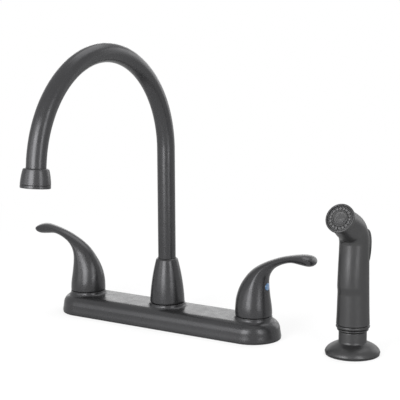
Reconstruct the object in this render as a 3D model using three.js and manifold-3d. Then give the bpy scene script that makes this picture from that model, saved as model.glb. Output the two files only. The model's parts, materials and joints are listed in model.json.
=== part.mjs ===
// Two handle kitchen faucet with a high-arc spout and a side sprayer.
// Millimetres, +Z up. The origin is on the deck plane, straight under the
// axis that the spout turns on; the user stands on the -Y side.
import * as THREE from 'three';
import { mergeVertices } from 'three/addons/utils/BufferGeometryUtils.js';
import Module from 'manifold-3d';

const wasm = await Module();
wasm.setup();

// ---------------------------------------------------------------- clearances
const overcut = 1; // how far a cutter runs past the face that it opens
const edgeBreak = 0.6; // small chamfer that takes the sharpness off an edge
const threadLead = 1; // length of the lead-in chamfer of a thread
const threadChamfer = 0.8; // and its depth
const runningGap = 0.3; // between pieces that move on each other
const seatGap = 0.2; // between pieces that are screwed or pressed together
const seamGap = 0.6; // the dark shadow line that shows between two castings

// ---------------------------------------------------------- driving sizes
const handlePitch = 203.2; // between the two handle axes, 8 inches
const gasketThickness = 1.2;

const plateOverhang = 27.25; // plate past each handle's axis
const plateWidth = 56.7;
const plateHeight = 19.2; // top of the plate over the deck
const plateDraft = 0.6; // how far the side wall leans in up to the fillet
const plateFillet = 11; // rounded top edge
const plateWall = 2.2;
const plateFilletSteps = 3;
const plateHollowDraw = 0.8; // how far its hollow is drawn in at the top, as a share of the fillet
const gasketInset = 0.4; // gasket's edge inside the plate's edge
const collarRadius = 18.4; // raised rings that carry the handles and the spout
const collarHeight = 3.6; // over the plate
const collarSink = 0.7; // how far its hollow fillet runs down past the plate's top
const collarFillet = 2.8; // hollow fillet where a ring meets the plate
const collarBore = 14.6;
const collarRoot = 0.5; // how deep the rings start inside the plate's top wall

const hubRadius = 18.25; // foot of a handle
const hubSkirtWall = 2.3;
const leverReach = 68.6; // lever tip from the handle axis
const leverRise = 65; // highest point of the lever over the foot of the handle
const leverHalfWidth = 7.2; // half width of the lever's neck
const leverCrown = 2.2; // how far the neck bulges above its edges
const leverBelly = 4.3; // and how far below them
const paddleHalfWidth = 10.4; // half width of the thumb paddle
const paddleCrown = 1.1;
const paddleBelly = 7.4;
const buttonHeight = 29.6; // index button over the foot of the handle
const buttonRadius = 3.8;
const buttonThickness = 2.6;
const setScrewRadius = 2.4;
const setScrewLength = 5.6;

const shankRadius = 10.3; // half inch pipe thread
const shankBore = 6.4;
const shankLength = 46; // below the deck
const valveFlangeRadius = 15.6;
const valveFlangeThickness = 3;
const valveBarrelRadius = 13.8;
const valveBarrelHeight = 15.6;
const valveNeckHeight = 8; // above the collar
const chamberRadius = 10;
const chamberFloor = 3.4; // over the flange's underside
const cartridgeWall = 2.1;
const cartridgeFlangeThickness = 1.8;
const discThickness = 2.6;
const portRadius = 2.2;
const portPlace = 0.48; // how far out a port stands, as a share of its disc's radius
const discSlip = 0.1; // between the two discs and over them
const discStep = 0.4; // fixed disc over the cartridge's foot
const driveDisc = 2; // thickness of the stem's foot
const stemRadius = 4.2;
const stemFlatDepth = 0.8;
const stemFlatDrop = 5; // how far the flat runs down below the set screw
const stemTopOverFoot = 33.5;
const bonnetRoom = 0.95; // between the bonnet nut's corners and the handle's skirt
const bonnetStand = 2.6; // how far its corners stand out past the valve's neck
const bonnetSkirtRoom = 1; // free height over it in the handle
const bonnetPlate = 1.8;
const bonnetEye = 7.6; // hole in its plate

const deckThickness = 10;
const washerRadius = 19;
const washerThickness = 2.4;
const nutCorner = 18; // axis to corner
const nutHeight = 9;

const crossoverRadius = 5.4;
const crossoverWall = 0.9;
const crossoverHeight = 9.4; // its axis over the deck
const socketDepth = 3.2;
const socketPast = 4; // how far a socket's cutter runs out past the casting

const hubBodyRadius = 14; // spout hub inside the plate
const hubNeckRadius = 12.4;
const hubNeckTop = 39.6; // over the deck
const swivelBore = 9.5;
const diverterBore = 7.2;
const diverterShoulder = 22;
const diverterTravel = 3;
const diverterLand = 2.4; // height of the piston's foot and radius of its waist
const diverterHead = 2.2;
const diverterNarrow = 1.4; // how much slimmer its head is than its bore
const nippleRadius = 6.4;
const nippleBore = 3.6;
const nippleLength = 30; // below the deck
const nippleHexCorner = 9.6;
const nippleHexHeight = 4;
const nippleLap = 1; // how far its hexagon laps over its spigots
const nippleSpigot = 2.4; // how far it stands up into the hub

const bellFootRadius = 17.7;
const bellTopRadius = 11.2;
const bellHeight = 43.6; // foot to the small top chamfer
const bellChamfer = 1.9;
const bellWall = 2.4;

const spoutReach = 202.2; // across the arc, from the stem's axis
const spoutRise = 179.7; // where the stem ends and the arc begins, over the deck
const spoutLean = THREE.MathUtils.degToRad(6); // the outlet points this much forwards
const spoutStraight = 10.1; // straight end of the tube past its arc
const tubeRadius = 8.95;
const tubeWall = 1.2;
const tubeFoot = 47; // lower end of the tube over the deck
const adapterFoot = 24.2;
const adapterCollarRadius = 11.6;
const adapterCollarHeight = 3.6;
const adapterWall = 1.4;
const adapterSpigot = 9; // how far it stands up into the tube
const ringSection = 0.82; // section radius of the swivel's sealing rings
const ringGrooveWidth = 2.2;
const glideThickness = 1.4;

const cupTopRadius = 10.4;
const cupFootRadius = 13.5;
const cupHeight = 14.2;
const cupOverlap = 5.6; // how far the tube runs into the cup
const aeratorRingHeight = 2.7;
const aeratorThreadRadius = 11.4;
const aeratorThreadHeight = 5.4;
const aeratorWall = 1.5;
const aeratorLip = 1; // inward lip under the insert
const aeratorSill = 1.2; // and its height
const aeratorHoles = 12;
const aeratorHoleRadius = 0.95;
const aeratorEye = 1.6; // middle hole of the insert
const flatDepth = 0.5; // spanner flats on the ring under the cup
const flatHalfWidth = 6;
const flatLand = 1; // full ring left above the flats

const sprayerX = 207.6;
const sprayerY = 0.9;
const holderFlangeRadius = 26;
const holderNeckRadius = 13.2;
const holderNeckTop = 22.6;
const holderDomeHeight = 11.4;
const holderShankRadius = 12.2;
const holderBore = 9.9;
const holderShankLength = 30;
const holderNutCorner = 19.6; // axis to corner

const sprayFootRadius = 15.8; // body radius at its lower end
const sprayTopRadius = 13.9; // body radius at the elbow and the nozzle
const sprayCollarHeight = 5.4;
const sprayElbowStart = 105.8; // where the body starts to bend, over the deck
const sprayElbowRadius = 18.4;
const sprayNoseLength = 26.5; // straight part between the elbow and the nozzle face
const sprayNoseRadius = 12.4; // body radius just behind the nozzle's rim
const sprayBend = THREE.MathUtils.degToRad(61);
const gripHump = 2.2; // finger rest on the front of the body
const gripLedge = 63; // height of the ledge under the finger rest

const couplingRadius = 8.9;
const couplingBore = 4;
const couplingFoot = -8;
const couplingThread = 9; // length of its thread for the hose
const couplingStep = 1.6; // how much slimmer the thread is
const inletBore = 10.2; // bore at the foot of the sprayer
const inletTop = 58;
const valveBore = 7.4;
const valveTop = 78;
const valveSeatBore = 4.6;
const valveSeatTop = 82;
const glandBore = 2.9;
const valveWall = 2; // body left between the plunger's bores and the lever's pocket
const poppetRadius = 6.4;
const poppetThickness = 2.4;
const plungerTravel = 2; // room for the plunger's stroke
const headRadius = 5.2; // plunger head
const sprayChannelRadius = 2.6;

const triggerHalfWidth = 9;
const triggerPivotZ = 112;
const triggerPivotY = 8.6; // from the sprayer's axis
const triggerFoot = 87;
const triggerCrown = 20.8; // its outermost point is about this far from the sprayer's axis
const triggerTop = 6; // over the pivot
const triggerTuck = 4.2; // how far its foot lies inside the crown
const triggerBevel = 0.7;
const bossRadius = 2.4; // lever round its pin
const crownPull = 1.2; // how far the curve of its back is pulled past the crown
const noseDepth = 1; // nose of the lever below the rim of the plunger's head
const noseHeight = 3; // upright part of the nose above its slope
const triggerPlay = 1.6; // free height above and below it in its pocket
const triggerWall = 2.8;
const pinRadius = 1.3;
const pinGap = 0.1; // the pin sits tight in the body and turns freely in the lever

const rimHeight = 3.4;
const rimWall = 1.9;
const facePlateThickness = 2.4;
const dishRadius = 6.8;
const dishDepth = 1;
const springRadius = 4.6; // middle of the wire
const springWire = 0.45; // wire radius
const springTurns = 5;
const springSeatHeight = 1.4; // over the top of the inlet bore
const nubCount = 18;
const nubCircle = 9.4;
const nubRadius = 0.75;
const nubHeight = 0.7;
const nubRoot = 0.6; // how deep a nub starts in the face
const nubTaper = 0.6; // its tip's radius as a share of its foot's

// round faces: how many sides stand in for a circle
const fineSides = 20;
const tubeSides = 16;
const plainSides = 12;
const portSides = 8;

// ------------------------------------------------------------ worked out
const handleX = handlePitch / 2;
const plateLength = handlePitch + 2 * plateOverhang;
const plateFoot = gasketThickness + seatGap;
const collarTop = plateHeight + collarHeight;
const footZ = collarTop + seamGap; // foot of the handles and of the spout bell
const valveFoot = gasketThickness + seatGap;
const bonnetCorner = hubRadius - hubSkirtWall - bonnetRoom;
const valveNeckRadius = bonnetCorner - bonnetStand;
const cartridgeFlangeRadius = valveNeckRadius - seatGap;
const tubeBore = tubeRadius - tubeWall;
const spoutArc = spoutReach / 2;

// ------------------------------------------------------------- materials
const finish = (color, roughness, metalness) =>
  new THREE.MeshStandardMaterial({ color, roughness, metalness });
const blackCoat = finish(0x4a4a4c, 0.42, 0.35);
const brass = finish(0xb08d4a, 0.35, 1);
const copper = finish(0xb87352, 0.35, 1);
const steel = finish(0xa8aaac, 0.3, 1);
const rubber = finish(0x1d1d1e, 0.85, 0);
const darkPlastic = finish(0x2b2b2d, 0.6, 0);
const whitePlastic = finish(0xdcdcd6, 0.5, 0);
const ceramic = finish(0xe9e6df, 0.25, 0);
const coldBlue = finish(0x4f86b8, 0.4, 0);
const hotRed = finish(0xb03a34, 0.4, 0);

// ------------------------------------------------- solids and their helpers
function toManifold(geometry) {
  let bare = geometry.clone();
  bare.deleteAttribute('normal');
  bare.deleteAttribute('uv');
  bare = mergeVertices(bare, 1e-4);
  return new wasm.Manifold(
    new wasm.Mesh({
      numProp: 3,
      vertProperties: new Float32Array(bare.attributes.position.array),
      triVerts: new Uint32Array(bare.index.array),
    }),
  );
}

function toGeometry(manifold) {
  const mesh = manifold.getMesh();
  const geometry = new THREE.BufferGeometry();
  geometry.setAttribute('position', new THREE.BufferAttribute(mesh.vertProperties, 3));
  geometry.setIndex(new THREE.BufferAttribute(mesh.triVerts, 1));
  return geometry;
}

const join = (first, ...others) =>
  toGeometry(others.reduce((sum, part) => sum.add(toManifold(part)), toManifold(first)));

const cut = (first, ...others) =>
  toGeometry(others.reduce((rest, part) => rest.subtract(toManifold(part)), toManifold(first)));

// A body of revolution about Z. profile lists [radius, height] and either starts
// and ends on the axis or closes on itself.
function revolve(profile, sides = plainSides) {
  const points = profile.map(([radius, height]) => new THREE.Vector2(radius, height));
  if (THREE.ShapeUtils.area(points) < 0) points.reverse();
  return new THREE.LatheGeometry(points, sides).rotateX(Math.PI / 2);
}

// A ring or sleeve between two radii and two heights.
const sleeve = (inner, outer, low, high, sides = plainSides) =>
  revolve([[inner, low], [outer, low], [outer, high], [inner, high], [inner, low]], sides);

const rod = (radius, low, high, sides = plainSides) =>
  revolve([[0, low], [radius, low], [radius, high], [0, high]], sides);

// A six-sided prism about Z, corner on X.
const hexagon = (corner, low, high) => rod(corner, low, high, 6);

// Points of an arc in the profile plane, from one angle to another in degrees.
function arc(centreX, centreY, radius, from, to, steps) {
  return Array.from({ length: steps + 1 }, (_, i) => {
    const angle = THREE.MathUtils.degToRad(from + ((to - from) * i) / steps);
    return [centreX + radius * Math.cos(angle), centreY + radius * Math.sin(angle)];
  });
}

// A closed skin over rings of points that all run the same way round.
function loft(rings) {
  const count = rings[0].length;
  const points = rings.flat();
  const faces = [];
  const middle = (ring) =>
    ring.reduce((sum, p) => sum.add(p), new THREE.Vector3()).divideScalar(ring.length);
  for (let r = 0; r < rings.length - 1; r++) {
    for (let i = 0; i < count; i++) {
      const a = r * count + i;
      const b = r * count + ((i + 1) % count);
      faces.push(a, b, b + count, a, b + count, a + count);
    }
  }
  const foot = points.push(middle(rings[0])) - 1;
  const head = points.push(middle(rings.at(-1))) - 1;
  const last = (rings.length - 1) * count;
  for (let i = 0; i < count; i++) {
    const next = (i + 1) % count;
    faces.push(foot, next, i, head, last + i, last + next);
  }
  const geometry = new THREE.BufferGeometry().setFromPoints(points);
  geometry.setIndex(faces);
  return geometry;
}

// A round bar or bore along a straight line between two points.
function bar(radius, from, to, sides = plainSides) {
  const direction = new THREE.Vector3().subVectors(to, from);
  const geometry = rod(radius, 0, direction.length(), sides);
  const turn = new THREE.Quaternion().setFromUnitVectors(
    new THREE.Vector3(0, 0, 1),
    direction.normalize(),
  );
  return geometry.applyQuaternion(turn).translate(from.x, from.y, from.z);
}

const point = (x, y, z) => new THREE.Vector3(x, y, z);

function block(lowX, highX, lowY, highY, lowZ, highZ) {
  return new THREE.BoxGeometry(highX - lowX, highY - lowY, highZ - lowZ).translate(
    (lowX + highX) / 2,
    (lowY + highY) / 2,
    (lowZ + highZ) / 2,
  );
}

const faucet = new THREE.Group();

function add(name, geometry, material, parent = faucet) {
  const mesh = new THREE.Mesh(geometry, material);
  mesh.name = name;
  parent.add(mesh);
  return mesh;
}

// ------------------------------------------------------------- deck plate
// A stadium: two round ends and two straight sides, drawn in by inset.
function stadium(z, inset, stepsPerEnd) {
  const radius = plateWidth / 2 - inset;
  const centre = (plateLength - plateWidth) / 2;
  const ring = [];
  for (const [side, from] of [[1, -Math.PI / 2], [-1, Math.PI / 2]]) {
    for (let i = 0; i <= stepsPerEnd; i++) {
      const angle = from + (Math.PI * i) / stepsPerEnd;
      ring.push(point(side * centre + radius * Math.cos(angle), radius * Math.sin(angle), z));
    }
  }
  return ring;
}

const plateSteps = 9; // steps round each end of the plate
const underSteps = 6;
function deckPlate() {
  const filletFoot = plateHeight - plateFillet;
  const edge = Array.from({ length: plateFilletSteps + 1 }, (_, i) => {
    const angle = (Math.PI * i) / (2 * plateFilletSteps);
    return stadium(
      filletFoot + plateFillet * Math.sin(angle),
      plateDraft + plateFillet * (1 - Math.cos(angle)),
      plateSteps,
    );
  });
  const outside = loft([stadium(plateFoot, 0, plateSteps), ...edge]);
  const under = plateHeight - plateWall;
  const inside = loft([
    stadium(plateFoot - overcut, plateWall, underSteps),
    stadium(filletFoot, plateWall + plateDraft, underSteps),
    stadium(under, plateWall + plateFillet * plateHollowDraw, underSteps),
  ]);
  const collarProfile = [
    [0, under - collarRoot],
    [collarRadius + collarFillet, under - collarRoot],
    ...arc(
      collarRadius + collarFillet, plateHeight + collarFillet - collarSink, collarFillet, 270, 180, 2,
    ),
    [collarRadius, collarTop - edgeBreak],
    [collarRadius - edgeBreak, collarTop],
    [0, collarTop],
  ];
  const centres = [-handleX, 0, handleX];
  const collars = centres.map((x) => revolve(collarProfile, tubeSides).translate(x, 0, 0));
  const bores = centres.map((x) =>
    rod(collarBore, under - 2 * overcut, collarTop + overcut, tubeSides).translate(x, 0, 0),
  );
  return cut(join(cut(outside, inside), ...collars), ...bores);
}
add('deck_plate', deckPlate(), blackCoat);

function deckGasket() {
  const sheet = loft(
    [0, gasketThickness].map((z) => stadium(z, gasketInset, plateSteps)),
  );
  const holes = [-handleX, 0, handleX].map((x) =>
    rod(shankRadius + seatGap, -overcut, gasketThickness + overcut).translate(x, 0, 0),
  );
  return cut(sheet, ...holes);
}
add('deck_gasket', deckGasket(), rubber);

// ------------------------------------------------- one valve and its handle
const barrelTop = valveFoot + valveFlangeThickness + valveBarrelHeight;
const neckTop = collarTop + valveNeckHeight;
const chamberZ = valveFoot + chamberFloor;
const cartridgeFoot = chamberZ + seatGap;
const cartridgeRadius = chamberRadius - seatGap;
const fixedDiscZ = cartridgeFoot + discStep;
const movingDiscZ = fixedDiscZ + discThickness + discSlip;
const stemFootZ = movingDiscZ + discThickness + discSlip;
const stemDiscTop = stemFootZ + driveDisc;
const discRadius = cartridgeRadius - cartridgeWall - runningGap;
const cartridgeFlangeZ = neckTop + seatGap;
const bonnetFoot = collarTop + 2 * seamGap;
const bonnetTop = cartridgeFlangeZ + cartridgeFlangeThickness + seatGap + bonnetPlate;
const stemTop = footZ + stemTopOverFoot;

// The waterway casting: threaded shank, flange, barrel and neck in one piece.
function valveBody(inward) {
  const body = revolve([
    [shankBore, -shankLength],
    [shankRadius - threadChamfer, -shankLength],
    [shankRadius, -shankLength + threadLead],
    [shankRadius, valveFoot],
    [valveFlangeRadius, valveFoot],
    [valveFlangeRadius, valveFoot + valveFlangeThickness],
    [valveBarrelRadius, valveFoot + valveFlangeThickness],
    [valveBarrelRadius, barrelTop],
    [valveNeckRadius, barrelTop + 1],
    [valveNeckRadius, neckTop],
    [chamberRadius, neckTop],
    [chamberRadius, chamberZ],
    [shankBore, chamberZ],
    [shankBore, -shankLength],
  ]);
  const socket = bar(
    crossoverRadius + seatGap,
    point(inward * (valveBarrelRadius - socketDepth), 0, crossoverHeight),
    point(inward * (valveBarrelRadius + socketPast), 0, crossoverHeight),
  );
  const port = bar(
    crossoverRadius - crossoverWall,
    point(inward * (chamberRadius - 1.5), 0, crossoverHeight),
    point(inward * valveBarrelRadius, 0, crossoverHeight),
  );
  return cut(body, socket, port);
}

// Two kidney ports through a ceramic disc, side by side.
function ceramicDisc(low, radius) {
  const holes = [-1, 1].map((side) =>
    rod(portRadius, low - overcut, low + discThickness + overcut, portSides)
      .translate(0, side * radius * portPlace, 0),
  );
  return cut(rod(radius, low, low + discThickness), ...holes);
}

function cartridge() {
  const outer = cartridgeRadius;
  const guide = stemRadius + runningGap;
  const discBore = discRadius + runningGap;
  return revolve([
    [discBore, cartridgeFoot],
    [outer, cartridgeFoot],
    [outer, cartridgeFlangeZ],
    [cartridgeFlangeRadius, cartridgeFlangeZ],
    [cartridgeFlangeRadius, cartridgeFlangeZ + cartridgeFlangeThickness],
    [guide, cartridgeFlangeZ + cartridgeFlangeThickness],
    [guide, stemDiscTop + runningGap],
    [discBore, stemDiscTop + runningGap],
    [discBore, cartridgeFoot],
  ]);
}

// Stem with the drive disc at its foot and a flat for the set screw.
function valveStem(outward) {
  const turned = revolve([
    [0, stemFootZ],
    [discRadius, stemFootZ],
    [discRadius, stemDiscTop],
    [stemRadius, stemDiscTop],
    [stemRadius, stemTop - threadLead],
    [stemRadius - threadChamfer, stemTop],
    [0, stemTop],
  ]);
  const flatFace = stemRadius - stemFlatDepth;
  const low = footZ + buttonHeight - stemFlatDrop;
  const clear = 2 * stemRadius;
  const flat = block(flatFace, clear, -clear, clear, low, stemTop + overcut);
  if (outward < 0) flat.rotateZ(Math.PI);
  return cut(turned, flat);
}

function bonnetNut() {
  const shell = hexagon(bonnetCorner, bonnetFoot, bonnetTop);
  const thread = rod(valveNeckRadius + seatGap, bonnetFoot - overcut, bonnetTop - bonnetPlate);
  const eye = rod(bonnetEye, bonnetFoot, bonnetTop + overcut);
  return cut(shell, thread, eye);
}

// The handle: a tapering hub whose inner side runs over into a lever. Both are
// lofts in the plane of the lever, where u points outwards from the handle axis.
// The lever's top line, as shares of the way from the hub's back to the tip and of
// the rise over the foot.
const leverLine = [
  [0, 0],
  [0, 0.123],
  [0.011, 0.272],
  [0.066, 0.475],
  [0.196, 0.691],
  [0.397, 0.854],
  [0.646, 0.968],
  [0.86, 0.998],
  [0.963, 0.96],
  [1, 0.904],
];
const spine = new THREE.SplineCurve(
  leverLine.map(
    ([out, up]) =>
      new THREE.Vector2(-hubRadius + out * (hubRadius + leverReach), footZ + up * leverRise),
  ),
);
const paddleTip = 0.91; // where the paddle's end starts to round off, as a share

// One section of the lever blade: a crowned upper half and a deeper lower half
// that meet in an edge. along runs from 0 at the foot to 1 at the tip.
function bladeSection(along, sides) {
  const top = spine.getPointAt(along);
  const tangent = spine.getTangentAt(along);
  const inward = new THREE.Vector2(tangent.y, -tangent.x);
  const hubShare = 1 - THREE.MathUtils.smoothstep(along, 0.12, 0.6);
  const paddle = THREE.MathUtils.smoothstep(along, 0.72, 0.92);
  const { lerp } = THREE.MathUtils;
  const overTip = Math.max(0, along - paddleTip) / (1 - paddleTip);
  const tip = Math.max(0.12, Math.sqrt(1 - overTip ** 2));
  const halfWidth = lerp(lerp(leverHalfWidth, paddleHalfWidth, paddle), hubRadius, hubShare) * tip;
  const crown = lerp(lerp(leverCrown, paddleCrown, paddle), hubRadius, hubShare ** 1.5);
  const belly = lerp(leverBelly, paddleBelly, paddle);
  return Array.from({ length: sides }, (_, i) => {
    const angle = (2 * Math.PI * i) / sides;
    const bulge = Math.sin(angle) > 0 ? crown : belly;
    const depth = crown - Math.sin(angle) * bulge * tip;
    return point(top.x + inward.x * depth, halfWidth * Math.cos(angle), top.y + inward.y * depth);
  });
}

function handleBlade() {
  const stations = [0, 0.08, 0.16, 0.24, 0.32, 0.4, 0.5, 0.6, 0.7, 0.79, 0.87, 0.93, 0.975, 1];
  return loft(stations.map((along) => bladeSection(along, 12)));
}

// The hub under the blade, in level sections: height as a share of the lever's rise, then
// inner side, outer side and half width as shares of the hub's radius.
const hubSections = [
  [0, -0.9, 1, 1],
  [0.112, -0.88, 0.985, 0.985],
  [0.264, -0.81, 0.925, 0.9],
  [0.395, -0.67, 0.875, 0.79],
  [0.528, -0.35, 0.865, 0.68],
  [0.62, -0.06, 0.93, 0.58],
  [0.711, 0.24, 1.13, 0.47],
  [0.766, 0.5, 1.33, 0.41],
  [0.815, 0.8, 1.65, 0.34],
];

function handleHub() {
  const sides = 18;
  return loft(
    hubSections.map(([rise, inner, outer, halfWidth]) => {
      const middle = (hubRadius * (inner + outer)) / 2;
      const half = (hubRadius * (outer - inner)) / 2;
      return Array.from({ length: sides }, (_, i) => {
        const angle = (2 * Math.PI * i) / sides;
        return point(
          middle + half * Math.cos(angle),
          hubRadius * halfWidth * Math.sin(angle),
          footZ + rise * leverRise,
        );
      });
    }),
  );
}

const buttonZ = footZ + buttonHeight;
const buttonFace = hubRadius * 0.87; // hub side at the button's height
const buttonSeat = buttonFace - buttonThickness;
const screwTip = stemRadius - stemFlatDepth + seatGap;
const skirtTop = bonnetTop + bonnetSkirtRoom;

function handle() {
  const skirt = rod(hubRadius - hubSkirtWall, footZ - overcut, skirtTop);
  const broach = rod(stemRadius + seatGap, footZ, stemTop + seatGap);
  const screwBore = bar(
    setScrewRadius + seatGap,
    point(0, 0, buttonZ),
    point(hubRadius + overcut, 0, buttonZ),
  );
  const buttonBore = bar(
    buttonRadius + seatGap,
    point(buttonSeat - seatGap, 0, buttonZ),
    point(hubRadius + overcut, 0, buttonZ),
    tubeSides,
  );
  const seam = rod(2 * hubRadius, footZ - hubRadius, footZ);
  return cut(join(handleBlade(), handleHub()), seam, skirt, broach, screwBore, buttonBore);
}

// Everything that stands on one handle axis. side is -1 for hot and 1 for cold.
function addValve(prefix, side, buttonFinish) {
  const axis = new THREE.Group();
  axis.position.x = side * handleX;
  faucet.add(axis);
  const turned = (geometry) => (side < 0 ? geometry.rotateZ(Math.PI) : geometry);

  add(`${prefix}_valve_body`, valveBody(-side), brass, axis);
  add(`${prefix}_cartridge`, cartridge(), whitePlastic, axis);
  add(`${prefix}_fixed_disc`, ceramicDisc(fixedDiscZ, discRadius), ceramic, axis);
  add(`${prefix}_moving_disc`, ceramicDisc(movingDiscZ, discRadius), ceramic, axis);
  add(`${prefix}_valve_stem`, valveStem(side), brass, axis);
  add(`${prefix}_bonnet_nut`, bonnetNut(), brass, axis);

  const washerTop = -deckThickness;
  const nutTop = washerTop - washerThickness - seatGap;
  const threadHole = shankRadius + seatGap;
  add(
    `${prefix}_mounting_washer`,
    sleeve(threadHole, washerRadius, washerTop - washerThickness, washerTop),
    darkPlastic,
    axis,
  );
  add(
    `${prefix}_mounting_nut`,
    cut(
      hexagon(nutCorner, nutTop - nutHeight, nutTop),
      rod(threadHole, nutTop - nutHeight - overcut, nutTop + overcut),
    ),
    brass,
    axis,
  );

  add(`${prefix}_handle`, turned(handle()), blackCoat, axis);
  add(
    `${prefix}_set_screw`,
    turned(
      bar(
        setScrewRadius,
        point(screwTip, 0, buttonZ),
        point(screwTip + setScrewLength, 0, buttonZ),
      ),
    ),
    steel,
    axis,
  );
  const button = revolve(
    [
      [0, 0],
      [buttonRadius, 0],
      [buttonRadius, buttonThickness - 0.4],
      [buttonRadius * 0.6, buttonThickness],
      [0, buttonThickness + 0.2],
    ],
    tubeSides,
  ).rotateY(Math.PI / 2);
  add(
    `${prefix}_index_button`,
    turned(button.translate(buttonSeat, 0, buttonZ)),
    buttonFinish,
    axis,
  );
}
addValve('hot', -1, hotRed);
addValve('cold', 1, coldBlue);

// ------------------------------------------------------ crossover and hub
function crossoverTube(side) {
  const hubEnd = hubBodyRadius - socketDepth + seatGap;
  const valveEnd = handleX - valveBarrelRadius + socketDepth - seatGap;
  const ends = [hubEnd, valveEnd].map((x) => point(side * x, 0, crossoverHeight));
  const past = [hubEnd - overcut, valveEnd + overcut].map((x) => point(side * x, 0, crossoverHeight));
  return cut(bar(crossoverRadius, ...ends), bar(crossoverRadius - crossoverWall, ...past));
}
add('hot_crossover_tube', crossoverTube(-1), copper);
add('cold_crossover_tube', crossoverTube(1), copper);

function spoutHub() {
  const neckFoot = barrelTop;
  const body = revolve([
    [diverterBore, valveFoot],
    [hubBodyRadius, valveFoot],
    [hubBodyRadius, neckFoot],
    [hubNeckRadius, neckFoot + 1],
    [hubNeckRadius, hubNeckTop],
    [swivelBore, hubNeckTop],
    [swivelBore, diverterShoulder],
    [diverterBore, diverterShoulder],
    [diverterBore, valveFoot],
  ], fineSides);
  const sockets = [-1, 1].map((side) =>
    bar(
      crossoverRadius + seatGap,
      point(side * (hubBodyRadius - socketDepth), 0, crossoverHeight),
      point(side * (hubBodyRadius + socketPast), 0, crossoverHeight),
    ),
  );
  const through = bar(
    crossoverRadius - crossoverWall,
    point(-hubBodyRadius, 0, crossoverHeight),
    point(hubBodyRadius, 0, crossoverHeight),
  );
  return cut(body, ...sockets, through);
}
add('spout_hub', spoutHub(), brass);

// Screwed into the hub from below: the outlet that the spray hose goes on.
const nippleTop = valveFoot + nippleSpigot;
const nippleHexTop = valveFoot - seatGap;
function sprayNipple() {
  const body = revolve([
    [nippleBore, -nippleLength],
    [nippleRadius - edgeBreak, -nippleLength],
    [nippleRadius, -nippleLength + threadLead],
    [nippleRadius, nippleHexTop - nippleLap],
    [diverterBore - seatGap, nippleHexTop - nippleLap],
    [diverterBore - seatGap, nippleTop],
    [nippleBore, nippleTop],
    [nippleBore, -nippleLength],
  ]);
  const hex = cut(
    hexagon(nippleHexCorner, nippleHexTop - nippleHexHeight, nippleHexTop),
    rod(nippleRadius - nippleLap, -nippleLength, nippleHexTop + overcut),
  );
  return join(body, hex);
}
add('spray_nipple', sprayNipple(), brass);

const pistonFoot = nippleTop + seatGap;
const pistonTop = diverterShoulder - diverterTravel - 2;
const pistonRadius = diverterBore - runningGap - 0.1;
add(
  'diverter_piston',
  revolve([
    [0, pistonFoot],
    [pistonRadius, pistonFoot],
    [pistonRadius, pistonFoot + diverterLand],
    [diverterLand, pistonFoot + diverterLand],
    [diverterLand, pistonTop - diverterHead],
    [diverterBore - diverterNarrow, pistonTop - diverterHead],
    [diverterBore - diverterNarrow, pistonTop],
    [0, pistonTop],
  ]),
  whitePlastic,
);

// ------------------------------------------------------------------ spout
const adapterCollarZ = hubNeckTop + runningGap;
const adapterCollarTop = adapterCollarZ + adapterCollarHeight;
const glideZ = adapterCollarTop + runningGap;
const bellShoulder = glideZ + glideThickness + runningGap;
const bellTop = footZ + bellHeight;
const ringHeights = [28.4, 34.2];

// The bell: an ogive from its foot to a small chamfer round the tube. It screws
// onto the hub's neck and holds the spout's collar down through the glide ring.
function spoutBell() {
  const outline = new THREE.QuadraticBezierCurve(
    new THREE.Vector2(bellFootRadius, footZ + 0.8),
    new THREE.Vector2(bellFootRadius - 1, footZ + bellHeight * 0.52),
    new THREE.Vector2(bellTopRadius, bellTop),
  );
  const outside = outline.getPoints(6).map((p) => [p.x, p.y]);
  const tubeHole = tubeRadius + runningGap;
  const neckHole = hubNeckRadius + seatGap;
  return revolve(
    [
      [neckHole, footZ],
      [bellFootRadius - edgeBreak, footZ],
      ...outside,
      [tubeHole + 0.4, bellTop + bellChamfer],
      [tubeHole, bellTop + bellChamfer],
      [tubeHole, bellShoulder],
      [neckHole, bellShoulder],
      [neckHole, footZ],
    ],
    fineSides,
  );
}
add('spout_bell', spoutBell(), blackCoat);

const spout = new THREE.Group();
faucet.add(spout);

// Where the arc ends: a little short of a half turn about a centre half the reach away.
const arcEnd = point(
  0,
  -spoutArc * (1 + Math.cos(spoutLean)),
  spoutRise + spoutArc * Math.sin(spoutLean),
);

// Rings of a round section along the spout's path: straight up, forwards along the arc,
// and straight on past its end.
function spoutRings(radius, sides, foot, past) {
  const circle = (centreY, centreZ, tilt) =>
    Array.from({ length: sides }, (_, i) => {
      const angle = (2 * Math.PI * i) / sides;
      const across = radius * Math.sin(angle);
      return point(
        radius * Math.cos(angle),
        centreY + across * Math.cos(tilt),
        centreZ + across * Math.sin(tilt),
      );
    });
  const rings = [circle(0, foot, 0), circle(0, (foot + spoutRise) / 2, 0)];
  const turns = 16;
  for (let i = 0; i <= turns; i++) {
    const tilt = ((Math.PI - spoutLean) * i) / turns;
    rings.push(
      circle(
        -spoutArc + spoutArc * Math.cos(tilt),
        spoutRise + spoutArc * Math.sin(tilt),
        tilt,
      ),
    );
  }
  rings.push(
    circle(
      arcEnd.y - past * Math.sin(spoutLean),
      arcEnd.z - past * Math.cos(spoutLean),
      Math.PI - spoutLean,
    ),
  );
  return rings;
}

add(
  'spout_tube',
  cut(
    loft(spoutRings(tubeRadius, tubeSides, tubeFoot, spoutStraight)),
    loft(spoutRings(tubeBore, plainSides, tubeFoot - overcut, spoutStraight + overcut)),
  ),
  blackCoat,
  spout,
);

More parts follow.
